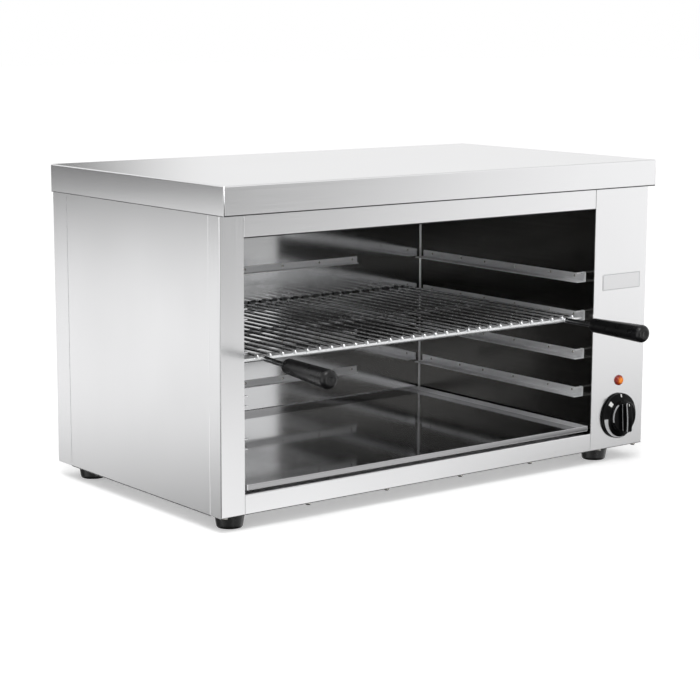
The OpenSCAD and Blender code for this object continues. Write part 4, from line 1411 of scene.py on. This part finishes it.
@dataclass
class Compartment:
    """What lies behind the control panel, and the lead's gland at the rear.

    Attributes:
        block_edge_mm: Width of the terminal block's rounded edges.
        stud_edge_mm: Width of the earth stud's broken edges.
        gland_edge_mm: Width of the gland body's rounded edges.
        dome_edge_mm: Width of those of its dome.
        locknut_edge_mm: Width of those of its locknut.
    """

    block_edge_mm: float = 0.5
    stud_edge_mm: float = 0.3
    gland_edge_mm: float = 0.6
    dome_edge_mm: float = 0.8
    locknut_edge_mm: float = 0.4

    def sleeved(self, node: str, name: str, finishes: Sequence[Finish]) -> bpy.types.Object:
        """Gives each wire of a node the sleeve of its circuit.

        Args:
            node: The wires' node.
            name: The new piece's name.
            finishes: One finish for each wire from the left on, the last one for all the rest.

        Returns:
            The wires.
        """
        bm = merged_copy(node)
        wires = sorted(islands(bm), key=lambda wire: [
            min(round(v.co[i], 4) for v in wire) for i in range(3)])
        for index, wire in enumerate(wires):
            for face in {face for vert in wire for face in vert.link_faces}:
                face.material_index = min(index, len(finishes) - 1)
        return make_piece(bm, name, Body.CABINET, finishes, [node], sharp_deg=40.0)

    def build(self) -> list[bpy.types.Object]:
        """Builds and dresses the compartment.

        Returns:
            Its pieces.
        """
        return [
            dress("terminal_block", STEATITE, self.block_edge_mm, MOULDED_STEPS),
            dress("terminal_screws", BRASS),
            self.sleeved("supply_wires", "supply_sleeves", [SLEEVE_BLUE, SLEEVE_BROWN]),
            self.sleeved("element_wires", "element_sleeves", [SLEEVE_GLASS]),
            self.sleeved("lamp_wires", "lamp_sleeves", [SLEEVE_RED]),
            self.sleeved("earth_wire", "earth_sleeve", [SLEEVE_GREEN]),
            dress("earth_stud", BRASS, self.stud_edge_mm),
            dress("gland_body", GLAND_BLACK, self.gland_edge_mm, MOULDED_STEPS),
            dress("gland_dome", GLAND_BLACK, self.dome_edge_mm, MOULDED_STEPS),
            dress("gland_locknut", GLAND_BLACK, self.locknut_edge_mm)]


@dataclass
class Fixings:
    """The rubber feet with their bolts, and the screws of the base and the rear panel.

    Attributes:
        head_rise: Height of a screw's pan head.
        head_dome: Points of the head, as shares of its radius and height.
        shank: Radius of the shank, as a share of the head's.
        tip: Radius of the shank's end, as a share of the shank's.
        point: Length of the shank's tapered end.
        sole_in: How much smaller a foot's radius is at the sole.
        sole_round: Points of the sole's rounding, as steps inwards from the taper and up.
        sole_lip: Chamfer between the sole and the screw's recess.
        recess: Radius of the screw's recess.
        recess_deep: Its depth.
        bore: Radius of the screw's hole.
        brim: Chamfer of the foot's upper edge, inwards and down.
        rings: Distances from the sole and from the top of rings that keep the taper's shading.
        bolt_edge_mm: Width of the broken edges of the feet's bolts.
    """

    head_rise: float = 2.6 * MM
    head_dome: tuple[tuple[float, float], ...] = (
        (1.0, 0.0), (1.0, 0.35), (0.9, 0.68), (0.68, 0.92), (0.4, 1.0), (0.0, 1.0))
    shank: float = 0.59
    tip: float = 0.7
    point: float = 0.6 * MM
    sole_in: float = 2.6 * MM
    sole_round: tuple[tuple[float, float], ...] = (
        (1.6 * MM, 0.0), (0.7 * MM, 0.25 * MM), (0.1 * MM, 0.9 * MM))
    sole_lip: float = 0.4 * MM
    recess: float = 6 * MM
    recess_deep: float = 8 * MM
    bore: float = 2.6 * MM
    brim: tuple[float, float] = (0.3 * MM, 0.5 * MM)
    rings: tuple[tuple[float, float], ...] = ((2 * MM, 4 * MM), (3 * MM, 0.8 * MM))
    bolt_edge_mm: float = 0.3

    def screw(self, low: Vector, high: Vector) -> bmesh.types.BMesh:
        """Makes one pan head screw in the place of a CAD screw.

        Args:
            low: Lowest corner of the CAD screw.
            high: Its highest corner.

        Returns:
            The screw's mesh.
        """
        size = high - low
        upright = abs(size.x - size.y) < ALIKE
        axis, sign = (Axis.Z, -1.0) if upright else (Axis.Y, 1.0)
        seat, length = head_seat(low, high, axis, sign, self.head_rise)
        radius = size.x / 2
        shank = self.shank * radius
        profile = [
            (0.0, -length), (shank * self.tip, -length), (shank, self.point - length),
            (shank, 0.0), *((radius * out, self.head_rise * up) for out, up in self.head_dome)]
        return lathe(profile, seat, axis, sign, steps=24)

    def screws(self) -> bpy.types.Object:
        """Makes all the casing's screws.

        Returns:
            One piece with all screws.
        """
        bm = bmesh.new()
        for low, high in solid_boxes("casing_screws"):
            join(bm, self.screw(low, high))
        return make_piece(
            bm, "pan_head_screws", Body.CABINET, [NICKEL], ["casing_screws"], sharp_deg=50.0)

    def foot(self, node: str) -> bpy.types.Object:
        """Makes a tapered rubber foot with a rounded sole and a moulded lip.

        Args:
            node: The foot's node.

        Returns:
            The foot.
        """
        low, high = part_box(node)
        top, tall = (high.x - low.x) / 2, high.z - low.z
        base, inside = top - self.sole_in, self.recess
        heights = [*self.rings[0], *(tall - down for down in self.rings[1])]
        profile = [
            (self.bore, self.recess_deep), (inside, self.recess_deep), (inside, self.sole_lip),
            (inside + self.sole_lip, 0.0),
            *((base - inwards, up) for inwards, up in self.sole_round),
            *((base + self.sole_in * height / tall, height) for height in heights),
            (top, tall - self.brim[1]), (top - self.brim[0], tall), (self.bore, tall),
            (self.bore, self.recess_deep)]
        seat = Vector(((low.x + high.x) / 2, (low.y + high.y) / 2, 0.0))
        return make_piece(
            lathe(profile, seat, Axis.Z, 1.0, steps=56), f"{node}_moulded", Body.CABINET,
            [FOOT_RUBBER], [node], sharp_deg=50.0)

    def build(self) -> list[bpy.types.Object]:
        """Builds and dresses the fixings.

        Returns:
            Their pieces.
        """
        places = ("front_left", "front_right", "rear_left", "rear_right")
        feet = [self.foot(f"{place}_foot") for place in places]
        return [*feet, dress("foot_screws", NICKEL, self.bolt_edge_mm), self.screws()]


@dataclass
class CrumbTray:
    """The shallow tray on the cavity's floor.

    Attributes:
        fold_radius: Outside radius of its folds.
    """

    fold_radius: float = 1.0 * MM

    def build(self) -> list[bpy.types.Object]:
        """Builds the tray, whose floor and front are a greyer mirror and its rims dull.

        Returns:
            The tray alone.
        """
        sheet = Casing(fold_radius=self.fold_radius)
        bm = sheet.folded("crumb_tray")
        floor = min(v.co.z for v in bm.verts) + TOUCH + 2 * sheet.wide
        for face in bm.faces:
            up = face.normal.z > FACING and face.calc_center_median().z < floor
            if up or face.normal.y < -FACING:
                face.material_index = 1
        return [make_piece(
            bm, "crumb_tray_folded", Body.TRAY, [STRIP_ACROSS, BRIGHT_FLAT], ["crumb_tray"])]


@dataclass
class Rack:
    """The wire rack with its two handles.

    Attributes:
        wire_sides: Number of faces round a wire.
        bend: Radius of a wire's bend along its middle, in wire radii.
        bend_steps: Number of steps in the bend.
        tip: Length of a wire's tapered tip, in wire radii.
        tip_taper: Width of that tip's end, as a share of the wire's.
        highlight_end: Length of a wire's front end with the painted highlight, in wire radii.
        rod_r: Radius of the handle rods.
        rod_ease: Rounding of a cross rod's ends.
        rod_curve: How far the rounding's middle lies from the rod's corner, as a share of it.
        spot: Half sizes of a spot weld's flash: in wire radii, rod radii and wire radii.
        spot_deep: How far the flash lies under the wires' tops, in wire radii.
        bead: Half sizes of a handle's weld bead, in handle rod radii.
        bead_in: How far the bead lies before the front rod's middle, in rod radii.
        ripple: Height of the bead's ripples, as a share of its size.
        ripples: Number of ripples round it.
        left_splay: Angle by which the left handle points outwards, in degrees.
        left_droop: Angle by which it points down, in degrees.
        grip_taper: How much smaller a grip's radius is at its back.
        bore_play: Play round the rod in a grip's bore.
        bore_mouth: Chamfer of the bore's mouth.
        bore_share: Depth of the bore, as a share of the grip's length.
        grip_back: Points of the back's rounding, as steps inwards and forwards.
        grip_rings: Number of faces along the tapered side, which keep its shading.
        grip_end: Radius of the domed end.
        grip_end_steps: Number of faces from the side to the dimple.
        grip_dimple: Points of the dimple in it, as steps inwards from the dome's edge and back
            from the end.
        dimple_deep: Depth of the dimple's middle.
    """

    wire_sides: int = 12
    bend: float = 1.2
    bend_steps: int = 5
    tip: float = 0.35
    tip_taper: float = 0.7
    highlight_end: float = 3.0
    rod_r: float = 2.8 * MM
    rod_ease: float = 0.6 * MM
    rod_curve: float = 0.3
    spot: tuple[float, float, float] = (1.25, 1.1, 0.55)
    spot_deep: float = 1.75
    bead: tuple[float, float, float] = (1.32, 0.62, 1.02)
    bead_in: float = 0.95
    ripple: float = 0.07
    ripples: int = 7
    left_splay: float = 4.5
    left_droop: float = 1.2
    grip_taper: float = 1.8 * MM
    bore_play: float = 0.05 * MM
    bore_mouth: float = 0.3 * MM
    bore_share: float = 0.6
    grip_back: tuple[tuple[float, float], ...] = (
        (2.2 * MM, 0.0), (0.9 * MM, 0.3 * MM), (0.25 * MM, 1.0 * MM), (0.0, 2.2 * MM))
    grip_rings: int = 5
    grip_end: float = 6.0 * MM
    grip_end_steps: int = 7
    grip_dimple: tuple[tuple[float, float], ...] = (
        (0.4 * MM, 0.12 * MM), (1.0 * MM, 0.5 * MM), (1.8 * MM, 0.7 * MM))
    dimple_deep: float = 0.75 * MM

    def drawn(
        self, bm: bmesh.types.BMesh, edges: Sequence[bmesh.types.BMEdge],
        way: tuple[float, float, float],
    ) -> tuple[list[bmesh.types.BMVert], list[bmesh.types.BMEdge]]:
        """Draws a ring of a wire's edges out along the wire.

        Args:
            bm: The wire's mesh.
            edges: The ring.
            way: How far it is drawn.

        Returns:
            The new ring's vertices and edges.
        """
        result = bmesh.ops.extrude_edge_only(bm, edges=edges)
        verts = of_kind(result, bmesh.types.BMVert)
        bmesh.ops.translate(bm, verts=verts, vec=way)
        return verts, [e for e in of_kind(result, bmesh.types.BMEdge) if e.is_boundary]

    def wire(self, low: Vector, high: Vector) -> bmesh.types.BMesh:
        """Makes a wire with both ends bent down over the outer rods.

        Args:
            low: Lowest corner of the CAD wire.
            high: Its highest corner.

        Returns:
            The wire's mesh.
        """
        radius = (high.x - low.x) / 2
        start = Vector(((low.x + high.x) / 2, (low.y + high.y) / 2, high.z - radius))
        bend, tip = self.bend * radius, self.tip * radius
        run = high.y - radius - bend - start.y
        bm = bmesh.new()
        ring = bmesh.ops.create_circle(
            bm, cap_ends=False, radius=radius, segments=self.wire_sides,
            matrix=Matrix.Translation(start) @ Matrix.Rotation(math.pi / 2, 4, "X"))
        loop = list({e for v in ring["verts"] for e in v.link_edges})
        verts, loop = self.drawn(bm, loop, (0.0, run, 0.0))
        bent = bmesh.ops.spin(
            bm, geom=loop + verts, cent=start + Vector((0.0, run, -bend)), axis=(1, 0, 0),
            dvec=(0, 0, 0), angle=-math.pi / 2, steps=self.bend_steps, use_merge=False,
            use_duplicate=False)
        loop = of_kind(bent, bmesh.types.BMEdge, "geom_last")
        loop = self.drawn(bm, loop, (0.0, 0.0, low.z + tip - (start.z - bend)))[1]
        verts, loop = self.drawn(bm, loop, (0.0, 0.0, -tip))
        middle = sum((v.co for v in verts), Vector()) / len(verts)
        bmesh.ops.scale(
            bm, vec=(self.tip_taper, self.tip_taper, 1.0), space=Matrix.Translation(-middle),
            verts=verts)
        bmesh.ops.contextual_create(bm, geom=loop)
        bmesh.ops.mirror(
            bm, geom=bm.verts[:] + bm.edges[:] + bm.faces[:],
            matrix=Matrix.Translation(-start), merge_dist=TOUCH, axis="Y")
        bmesh.ops.remove_doubles(bm, verts=bm.verts, dist=TOUCH)
        bmesh.ops.recalc_face_normals(bm, faces=bm.faces)
        return bm

    def wires(self) -> bpy.types.Object:
        """Makes the rack's wires.

        Returns:
            One piece with all wires.
        """
        boxes = solid_boxes("rack_wires")
        low, high = boxes[0]
        radius = (high.x - low.x) / 2
        bm = self.wire(low, high)
        pitch = (boxes[-1][0].x - low.x) / (len(boxes) - 1)
        one = bm.verts[:] + bm.edges[:] + bm.faces[:]
        for index in range(1, len(boxes)):
            moved = of_kind(bmesh.ops.duplicate(bm, geom=one), bmesh.types.BMVert)
            bmesh.ops.translate(bm, verts=moved, vec=(index * pitch, 0, 0))
        # Painted shade under each wire, and a painted highlight on its front end
        plated = PaintedShadeWire(
            "steel_wire_chrome_plated_painted_shade", "chrome_wire", "#fafbfc", "#161617",
            roughness=0.24, metallic=0.78, axis_z=high.z - radius, radius=radius,
            front_y=low.y + self.highlight_end * radius)
        return make_piece(
            bm, "bent_wires", Body.RACK, [plated], ["rack_wires"], sharp_deg=60.0)

    def rods(self) -> bpy.types.Object:
        """Makes the cross rods with rounded ends. The inner ones are greyer, as painted shade of
        the wires over them.

        Returns:
            One piece with all cross rods.
        """
        bm, ease = bmesh.new(), self.rod_ease
        for index, (low, high) in enumerate(solid_boxes("rack_cross_rods")):
            r, length = (high.z - low.z) / 2, high.x - low.x
            near = self.rod_curve * ease
            end = [(0.0, 0.0), (r - ease, 0.0), (r - near, near), (r, ease)]
            profile = [*end, (r, length / 2), *((out, length - at) for out, at in reversed(end))]
            seat = Vector((low.x, (low.y + high.y) / 2, (low.z + high.z) / 2))
            # Every rod but the front one takes the greyer plating of painted shade
            join(bm, lathe(profile, seat, Axis.X, 1.0, steps=20), min(index, 1))
        return make_piece(
            bm, "cross_rods", Body.RACK, [CHROMED_ACROSS, CHROMED_PAINTED_SHADE],
            ["rack_cross_rods"], sharp_deg=50.0)

    def nuggets(self) -> bpy.types.Object:
        """Makes the small flash of the spot weld where each wire lies on an inner rod.

        Returns:
            One piece with all of them.
        """
        bm = bmesh.new()
        wires, rods = solid_boxes("rack_wires"), solid_boxes("rack_cross_rods")[1:]
        wire_r = (wires[0][1].x - wires[0][0].x) / 2
        rod_r = (rods[0][1].z - rods[0][0].z) / 2
        size = [share * r for share, r in zip(self.spot, (wire_r, rod_r, wire_r))]
        seam = wires[0][1].z - self.spot_deep * wire_r
        for low, high in wires:
            for rod_low, rod_high in rods:
                flash = bmesh.new()
                bmesh.ops.create_uvsphere(flash, u_segments=8, v_segments=5, radius=1.0)
                bmesh.ops.scale(flash, vec=size, verts=flash.verts)
                bmesh.ops.translate(flash, verts=flash.verts, vec=(
                    (low.x + high.x) / 2, (rod_low.y + rod_high.y) / 2, seam))
                join(bm, flash)
        return make_piece(bm, "spot_welds", Body.RACK, [WELD_BEAD], sharp_deg=80.0)

    def welds(self) -> bpy.types.Object:
        """Makes the bead of weld that holds each handle rod to the front cross rod.

        Returns:
            One piece with both beads.
        """
        bm = bmesh.new()
        low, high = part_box("rack_cross_rods")
        middle, radius = (low + high) / 2, (high.z - low.z) / 2
        front_y = low.y + radius * (1 - self.bead_in)
        right_rod = solid_boxes("rack_handle_rods")[1]
        reach = (right_rod[0].x + right_rod[1].x) / 2 - middle.x
        for side in (-1.0, 1.0):
            bead = bmesh.new()
            bmesh.ops.create_uvsphere(bead, u_segments=20, v_segments=12, radius=1.0)
            for vert in bead.verts:
                turn = math.atan2(vert.co.z, vert.co.x)
                ripple = 1 + self.ripple * math.sin(self.ripples * turn)
                vert.co = Vector((vert.co.x * ripple, vert.co.y, vert.co.z * ripple))
            bmesh.ops.scale(bead, vec=Vector(self.bead) * self.rod_r, verts=bead.verts)
            place = Vector((middle.x + side * reach, front_y, middle.z))
            bmesh.ops.translate(bead, vec=place, verts=bead.verts)
            join(bm, bead)
        return make_piece(bm, "handle_welds", Body.RACK, [WELD_BEAD], sharp_deg=80.0)

    def grip_profile(self, wide: float, length: float) -> list[tuple[float, float]]:
        """Draws half a grip: its bore, its tapered side and its domed end with the dimple.

        Args:
            wide: Radius at the front.
            length: Length of the grip.

        Returns:
            Points as radius and distance from the grip's back.
        """
        bore, deep, mouth = self.rod_r + self.bore_play, self.bore_share * length, self.bore_mouth
        narrow, back, end = wide - self.grip_taper, self.grip_back[-1][1], self.grip_end
        rings = [ring / self.grip_rings for ring in range(1, self.grip_rings + 1)]
        steps = self.grip_end_steps
        turns = [step * math.pi / (2 * steps) for step in range(1, steps)]
        return [
            (0.0, deep), (bore, deep), (bore, mouth), (bore + mouth, 0.0),
            *((narrow - inwards, forwards) for inwards, forwards in self.grip_back),
            *((narrow + self.grip_taper * s, back + (length - end - back) * s) for s in rings),
            *((wide - end + end * math.cos(a), length - end + end * math.sin(a)) for a in turns),
            *((wide - end - inwards, length - down) for inwards, down in self.grip_dimple),
            (0.0, length - self.dimple_deep)]

    def grips(self) -> bpy.types.Object:
        """Makes the two tapered grips.

        Returns:
            One piece with both grips.
        """
        bm = bmesh.new()
        low, high = solid_boxes("rack_grips")[1]
        profile = self.grip_profile((high.x - low.x) / 2, high.y - low.y)
        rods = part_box("rack_cross_rods")
        middle = (rods[0].x + rods[1].x) / 2
        for side in (-1.0, 1.0):
            reach = (low.x + high.x) / 2 - middle
            seat = Vector((middle + side * reach, high.y, (low.z + high.z) / 2))
            grip = lathe(profile, seat, Axis.Y, -1.0, steps=48)
            if side < 0:
                weld = Vector((seat.x, rods[0].y + (rods[1].z - rods[0].z) / 2, seat.z))
                splay = Matrix.Rotation(math.radians(-self.left_splay), 3, "Z")
                droop = Matrix.Rotation(math.radians(self.left_droop), 3, "X")
                bmesh.ops.rotate(grip, cent=weld, matrix=splay @ droop, verts=grip.verts)
            join(bm, grip)
        piece = make_piece(
            bm, "moulded_grips", Body.RACK, [GRIP_BLACK], ["rack_grips"], sharp_deg=60.0)
        # Brushed steel scatters their image too widely to be seen
        piece.visible_glossy = False
        return piece

    def build(self) -> list[bpy.types.Object]:
        """Builds and dresses the rack.

        Returns:
            Its pieces.
        """
        return [
            dress("rack_handle_rods", CHROMED_DEEP), self.rods(), self.wires(),
            self.nuggets(), self.welds(), self.grips()]


# Studio --------------------------------------------------------------------------------------


@dataclass(frozen=True)
class Card:
    """A soft-edged card in the studio, which only metal and gloss show.

    Attributes:
        turn: Direction of its middle in degrees, from straight in front towards the right.
        tilt: Height of its middle in degrees, above the horizon.
        half_turn: Half of its width that is at full strength, in degrees.
        half_tilt: Half of its height that is at full strength, in degrees.
        soft_turn: Width of its soft edge, in degrees.
        soft_tilt: Height of its soft edge, in degrees.
        level: Its brightness.
    """

    turn: float
    tilt: float
    half_turn: float
    half_tilt: float
    soft_turn: float
    soft_tilt: float
    level: float

    def over(
        self, tree: bpy.types.NodeTree, base: object, turn: bpy.types.NodeSocket,
        tilt: bpy.types.NodeSocket,
    ) -> bpy.types.NodeSocket:
        """Lays the card over what lies behind it.

        Args:
            tree: The world's node tree.
            base: Brightness behind the card.
            turn: Direction of the ray.
            tilt: Height of the ray.

        Returns:
            Brightness with the card.
        """
        shares = []
        for value, middle, flat, soft in (
            (turn, self.turn, self.half_turn, self.soft_turn),
            (tilt, self.tilt, self.half_tilt, self.soft_tilt),
        ):
            off = add_node(tree, "ShaderNodeMath", {"operation": "SUBTRACT"}, {
                0: value, 1: math.radians(middle)})
            if value is turn:
                off = add_node(tree, "ShaderNodeMath", {"operation": "WRAP"}, {
                    0: off.outputs[0], 1: math.pi, 2: -math.pi})
            away = add_node(tree, "ShaderNodeMath", {"operation": "ABSOLUTE"}, {0: off.outputs[0]})
            shares.append(add_node(
                tree, "ShaderNodeMapRange", {"interpolation_type": "SMOOTHSTEP"}, {
                    "Value": away.outputs[0], "From Min": math.radians(flat),
                    "From Max": math.radians(flat + soft), "To Min": 1.0, "To Max": 0.0}))
        share = add_node(tree, "ShaderNodeMath", {"operation": "MULTIPLY"}, {
            0: shares[0].outputs[0], 1: shares[1].outputs[0]})
        return add_node(tree, "ShaderNodeMix", {"data_type": "FLOAT"}, {
            "Factor": share.outputs[0], "A": base, "B": self.level}).outputs["Result"]


@dataclass
class Studio:
    """The pale floor, the soft light and the camera.

    Attributes:
        camera_at: Where the camera stands.
        camera_turn: Its rotation, in degrees about X, Y and Z.
        lens_mm: Its focal length.
        sensor_mm: Width of its sensor.
        clip: Nearest and farthest distance that it sees.
        fill: Level of the even light.
        sky: Level of the surroundings that metal shows between the cards.
        cards: What else metal shows, from the farthest card to the nearest.
        floor_half: Half of the floor's side.
        floor_colour: Colour of the floor's paper.
        floor_glow: Light that the floor adds for the eye alone, so that it stays white.
        lamp_at: Where the soft light hangs.
        lamp_aim: The point it faces.
        lamp_size: Its side.
        lamp_watts: Its power.
    """

    camera_at: tuple[float, float, float] = (-1.37346, -1.70780, 0.51966)
    camera_turn: tuple[float, float, float] = (80.1934, -0.2208, -37.8094)
    lens_mm: float = 101.659
    sensor_mm: float = 36.0
    clip: tuple[float, float] = (0.05, 60.0)
    fill: float = 0.8
    sky: float = 1.0
    cards: tuple[Card, ...] = (
        Card(0, -90, 180, 52, 1, 12, 0.03),        # dark ground, for the undersides
        Card(0, 90, 180, 55, 1, 18, 0.74),         # dimmer ceiling
        Card(96, 0, 18, 16, 12, 12, 0.5),          # grey room at the right
        Card(150, 6, 45, 12, 20, 12, 0.87),        # wall behind
        Card(164, 4, 12, 6, 6, 8, 0.0),            # dark card behind, for the cover's left end
        Card(-150, 2, 25, 6.6, 15, 2.1, 0.0),      # dark horizon behind at the left
        Card(-150, -21.7, 25, 6.7, 15, 3.1, 0.17),  # dark floor below it
        Card(-40, -9, 12, 9, 12, 10, 0.05),        # the dark side where the camera stands
        Card(20, -2.8, 14.2, 0, 9.6, 12.2, 0.15),  # dark horizon ahead
        Card(55, -16.2, 8.8, 2.3, 6, 4, 0.02),     # dark floor ahead at the right
        Card(-6, -9, 3, 14, 4, 8, 4.0),            # tall strip light, left of the front
        Card(86, -9, 2, 14, 4, 8, 2.0),            # tall strip light at the right
        Card(-90, -9, 14, 14, 8, 8, 1.7),          # wide strip light at the left
    )
    floor_half: float = 14.0
    floor_colour: str = "#f0f0f0"
    floor_glow: float = 0.34
    lamp_at: tuple[float, float, float] = (-0.9, -0.9, 2.3)
    lamp_aim: tuple[float, float, float] = (0.0, 0.0, 0.2)
    lamp_size: float = 1.1
    lamp_watts: float = 22.0

    def camera(self) -> None:
        """Makes the camera and gives it to the scene."""
        data = bpy.data.cameras.new("camera")
        data.lens = self.lens_mm
        data.sensor_width = self.sensor_mm
        data.clip_start, data.clip_end = self.clip
        camera = bpy.data.objects.new("camera", data)
        camera.location = self.camera_at
        camera.rotation_euler = [math.radians(a) for a in self.camera_turn]
        bpy.context.scene.collection.objects.link(camera)
        bpy.context.scene.camera = camera

    def world(self) -> None:
        """Makes the surroundings: white to the eye, a studio with its cards to metal."""
        world = bpy.data.worlds.new("studio")
        bpy.context.scene.world = world
        world.use_nodes = True
        tree = world.node_tree
        tree.nodes.clear()
        path = add_node(tree, "ShaderNodeLightPath")
        way = add_node(tree, "ShaderNodeTexCoord").outputs["Generated"]
        axes = add_node(tree, "ShaderNodeSeparateXYZ", inputs={"Vector": way})
        ahead = add_node(tree, "ShaderNodeMath", {"operation": "MULTIPLY"}, {
            0: axes.outputs["Y"], 1: -1.0})
        turn = add_node(tree, "ShaderNodeMath", {"operation": "ARCTAN2"}, {
            0: axes.outputs["X"], 1: ahead.outputs[0]})
        tilt = add_node(tree, "ShaderNodeMath", {"operation": "ARCSINE"}, {0: axes.outputs["Z"]})
        level: object = self.sky
        for card in self.cards:
            level = card.over(tree, level, turn.outputs[0], tilt.outputs[0])
        sharp = add_node(tree, "ShaderNodeMath", {"operation": "MAXIMUM"}, {
            0: path.outputs["Is Glossy Ray"], 1: path.outputs["Is Transmission Ray"]})
        seen = add_node(tree, "ShaderNodeMix", {"data_type": "FLOAT"}, {
            "Factor": sharp.outputs[0], "A": self.fill, "B": level})
        strength = add_node(tree, "ShaderNodeMix", {"data_type": "FLOAT"}, {
            "Factor": path.outputs["Is Camera Ray"], "A": seen.outputs["Result"], "B": 1.0})
        light = add_node(tree, "ShaderNodeBackground", inputs={
            "Color": (1.0, 1.0, 1.0, 1.0), "Strength": strength.outputs["Result"]})
        add_node(tree, "ShaderNodeOutputWorld", inputs={"Surface": light.outputs[0]})

    def floor(self) -> None:
        """Makes a white floor that keeps the shadow."""
        bm = bmesh.new()
        bmesh.ops.create_grid(bm, x_segments=1, y_segments=1, size=self.floor_half)
        mesh = bpy.data.meshes.new("studio_floor")
        bm.to_mesh(mesh)
        bm.free()
        paper = bpy.data.materials.new("paper_white_matt")
        paper.use_nodes = True
        tree = paper.node_tree
        tree.nodes.clear()
        path = add_node(tree, "ShaderNodeLightPath")
        matt = add_node(tree, "ShaderNodeBsdfDiffuse", inputs={"Color": srgb(self.floor_colour)})
        glow = add_node(tree, "ShaderNodeEmission", inputs={"Strength": self.floor_glow})
        lit = add_node(tree, "ShaderNodeAddShader", inputs={0: matt.outputs[0], 1: glow.outputs[0]})
        both = add_node(tree, "ShaderNodeMixShader", inputs={
            0: path.outputs["Is Camera Ray"], 1: matt.outputs[0], 2: lit.outputs[0]})
        add_node(tree, "ShaderNodeOutputMaterial", inputs={"Surface": both.outputs[0]})
        mesh.materials.append(paper)
        floor = bpy.data.objects.new("studio_floor", mesh)
        floor.visible_glossy = False
        floor.visible_transmission = False
        bpy.context.scene.collection.objects.link(floor)

    def lamp(self) -> None:
        """Hangs the square soft light."""
        data = bpy.data.lights.new("key", "AREA")
        data.shape, data.size, data.energy = "SQUARE", self.lamp_size, self.lamp_watts
        lamp = bpy.data.objects.new("key", data)
        lamp.location = self.lamp_at
        aim = Vector(self.lamp_aim) - Vector(self.lamp_at)
        lamp.rotation_euler = aim.to_track_quat("-Z", "Y").to_euler()
        bpy.context.scene.collection.objects.link(lamp)

    def build(self) -> None:
        """Sets up the studio and the plain view transform."""
        self.camera()
        self.world()
        self.floor()
        self.lamp()
        bpy.context.scene.view_settings.view_transform = "Standard"


def main() -> None:
    """Builds the studio and every sub-assembly."""
    logging.basicConfig(level=logging.INFO, format="%(message)s")
    Studio().build()
    for part in (
        Casing(), Cavity(), Heating(), Controls(), Compartment(), Fixings(), CrumbTray(), Rack(),
    ):
        pieces = part.build()
        LOG.info("%s: %d pieces", type(part).__name__, len(pieces))


if __name__ == "__main__":
    main()
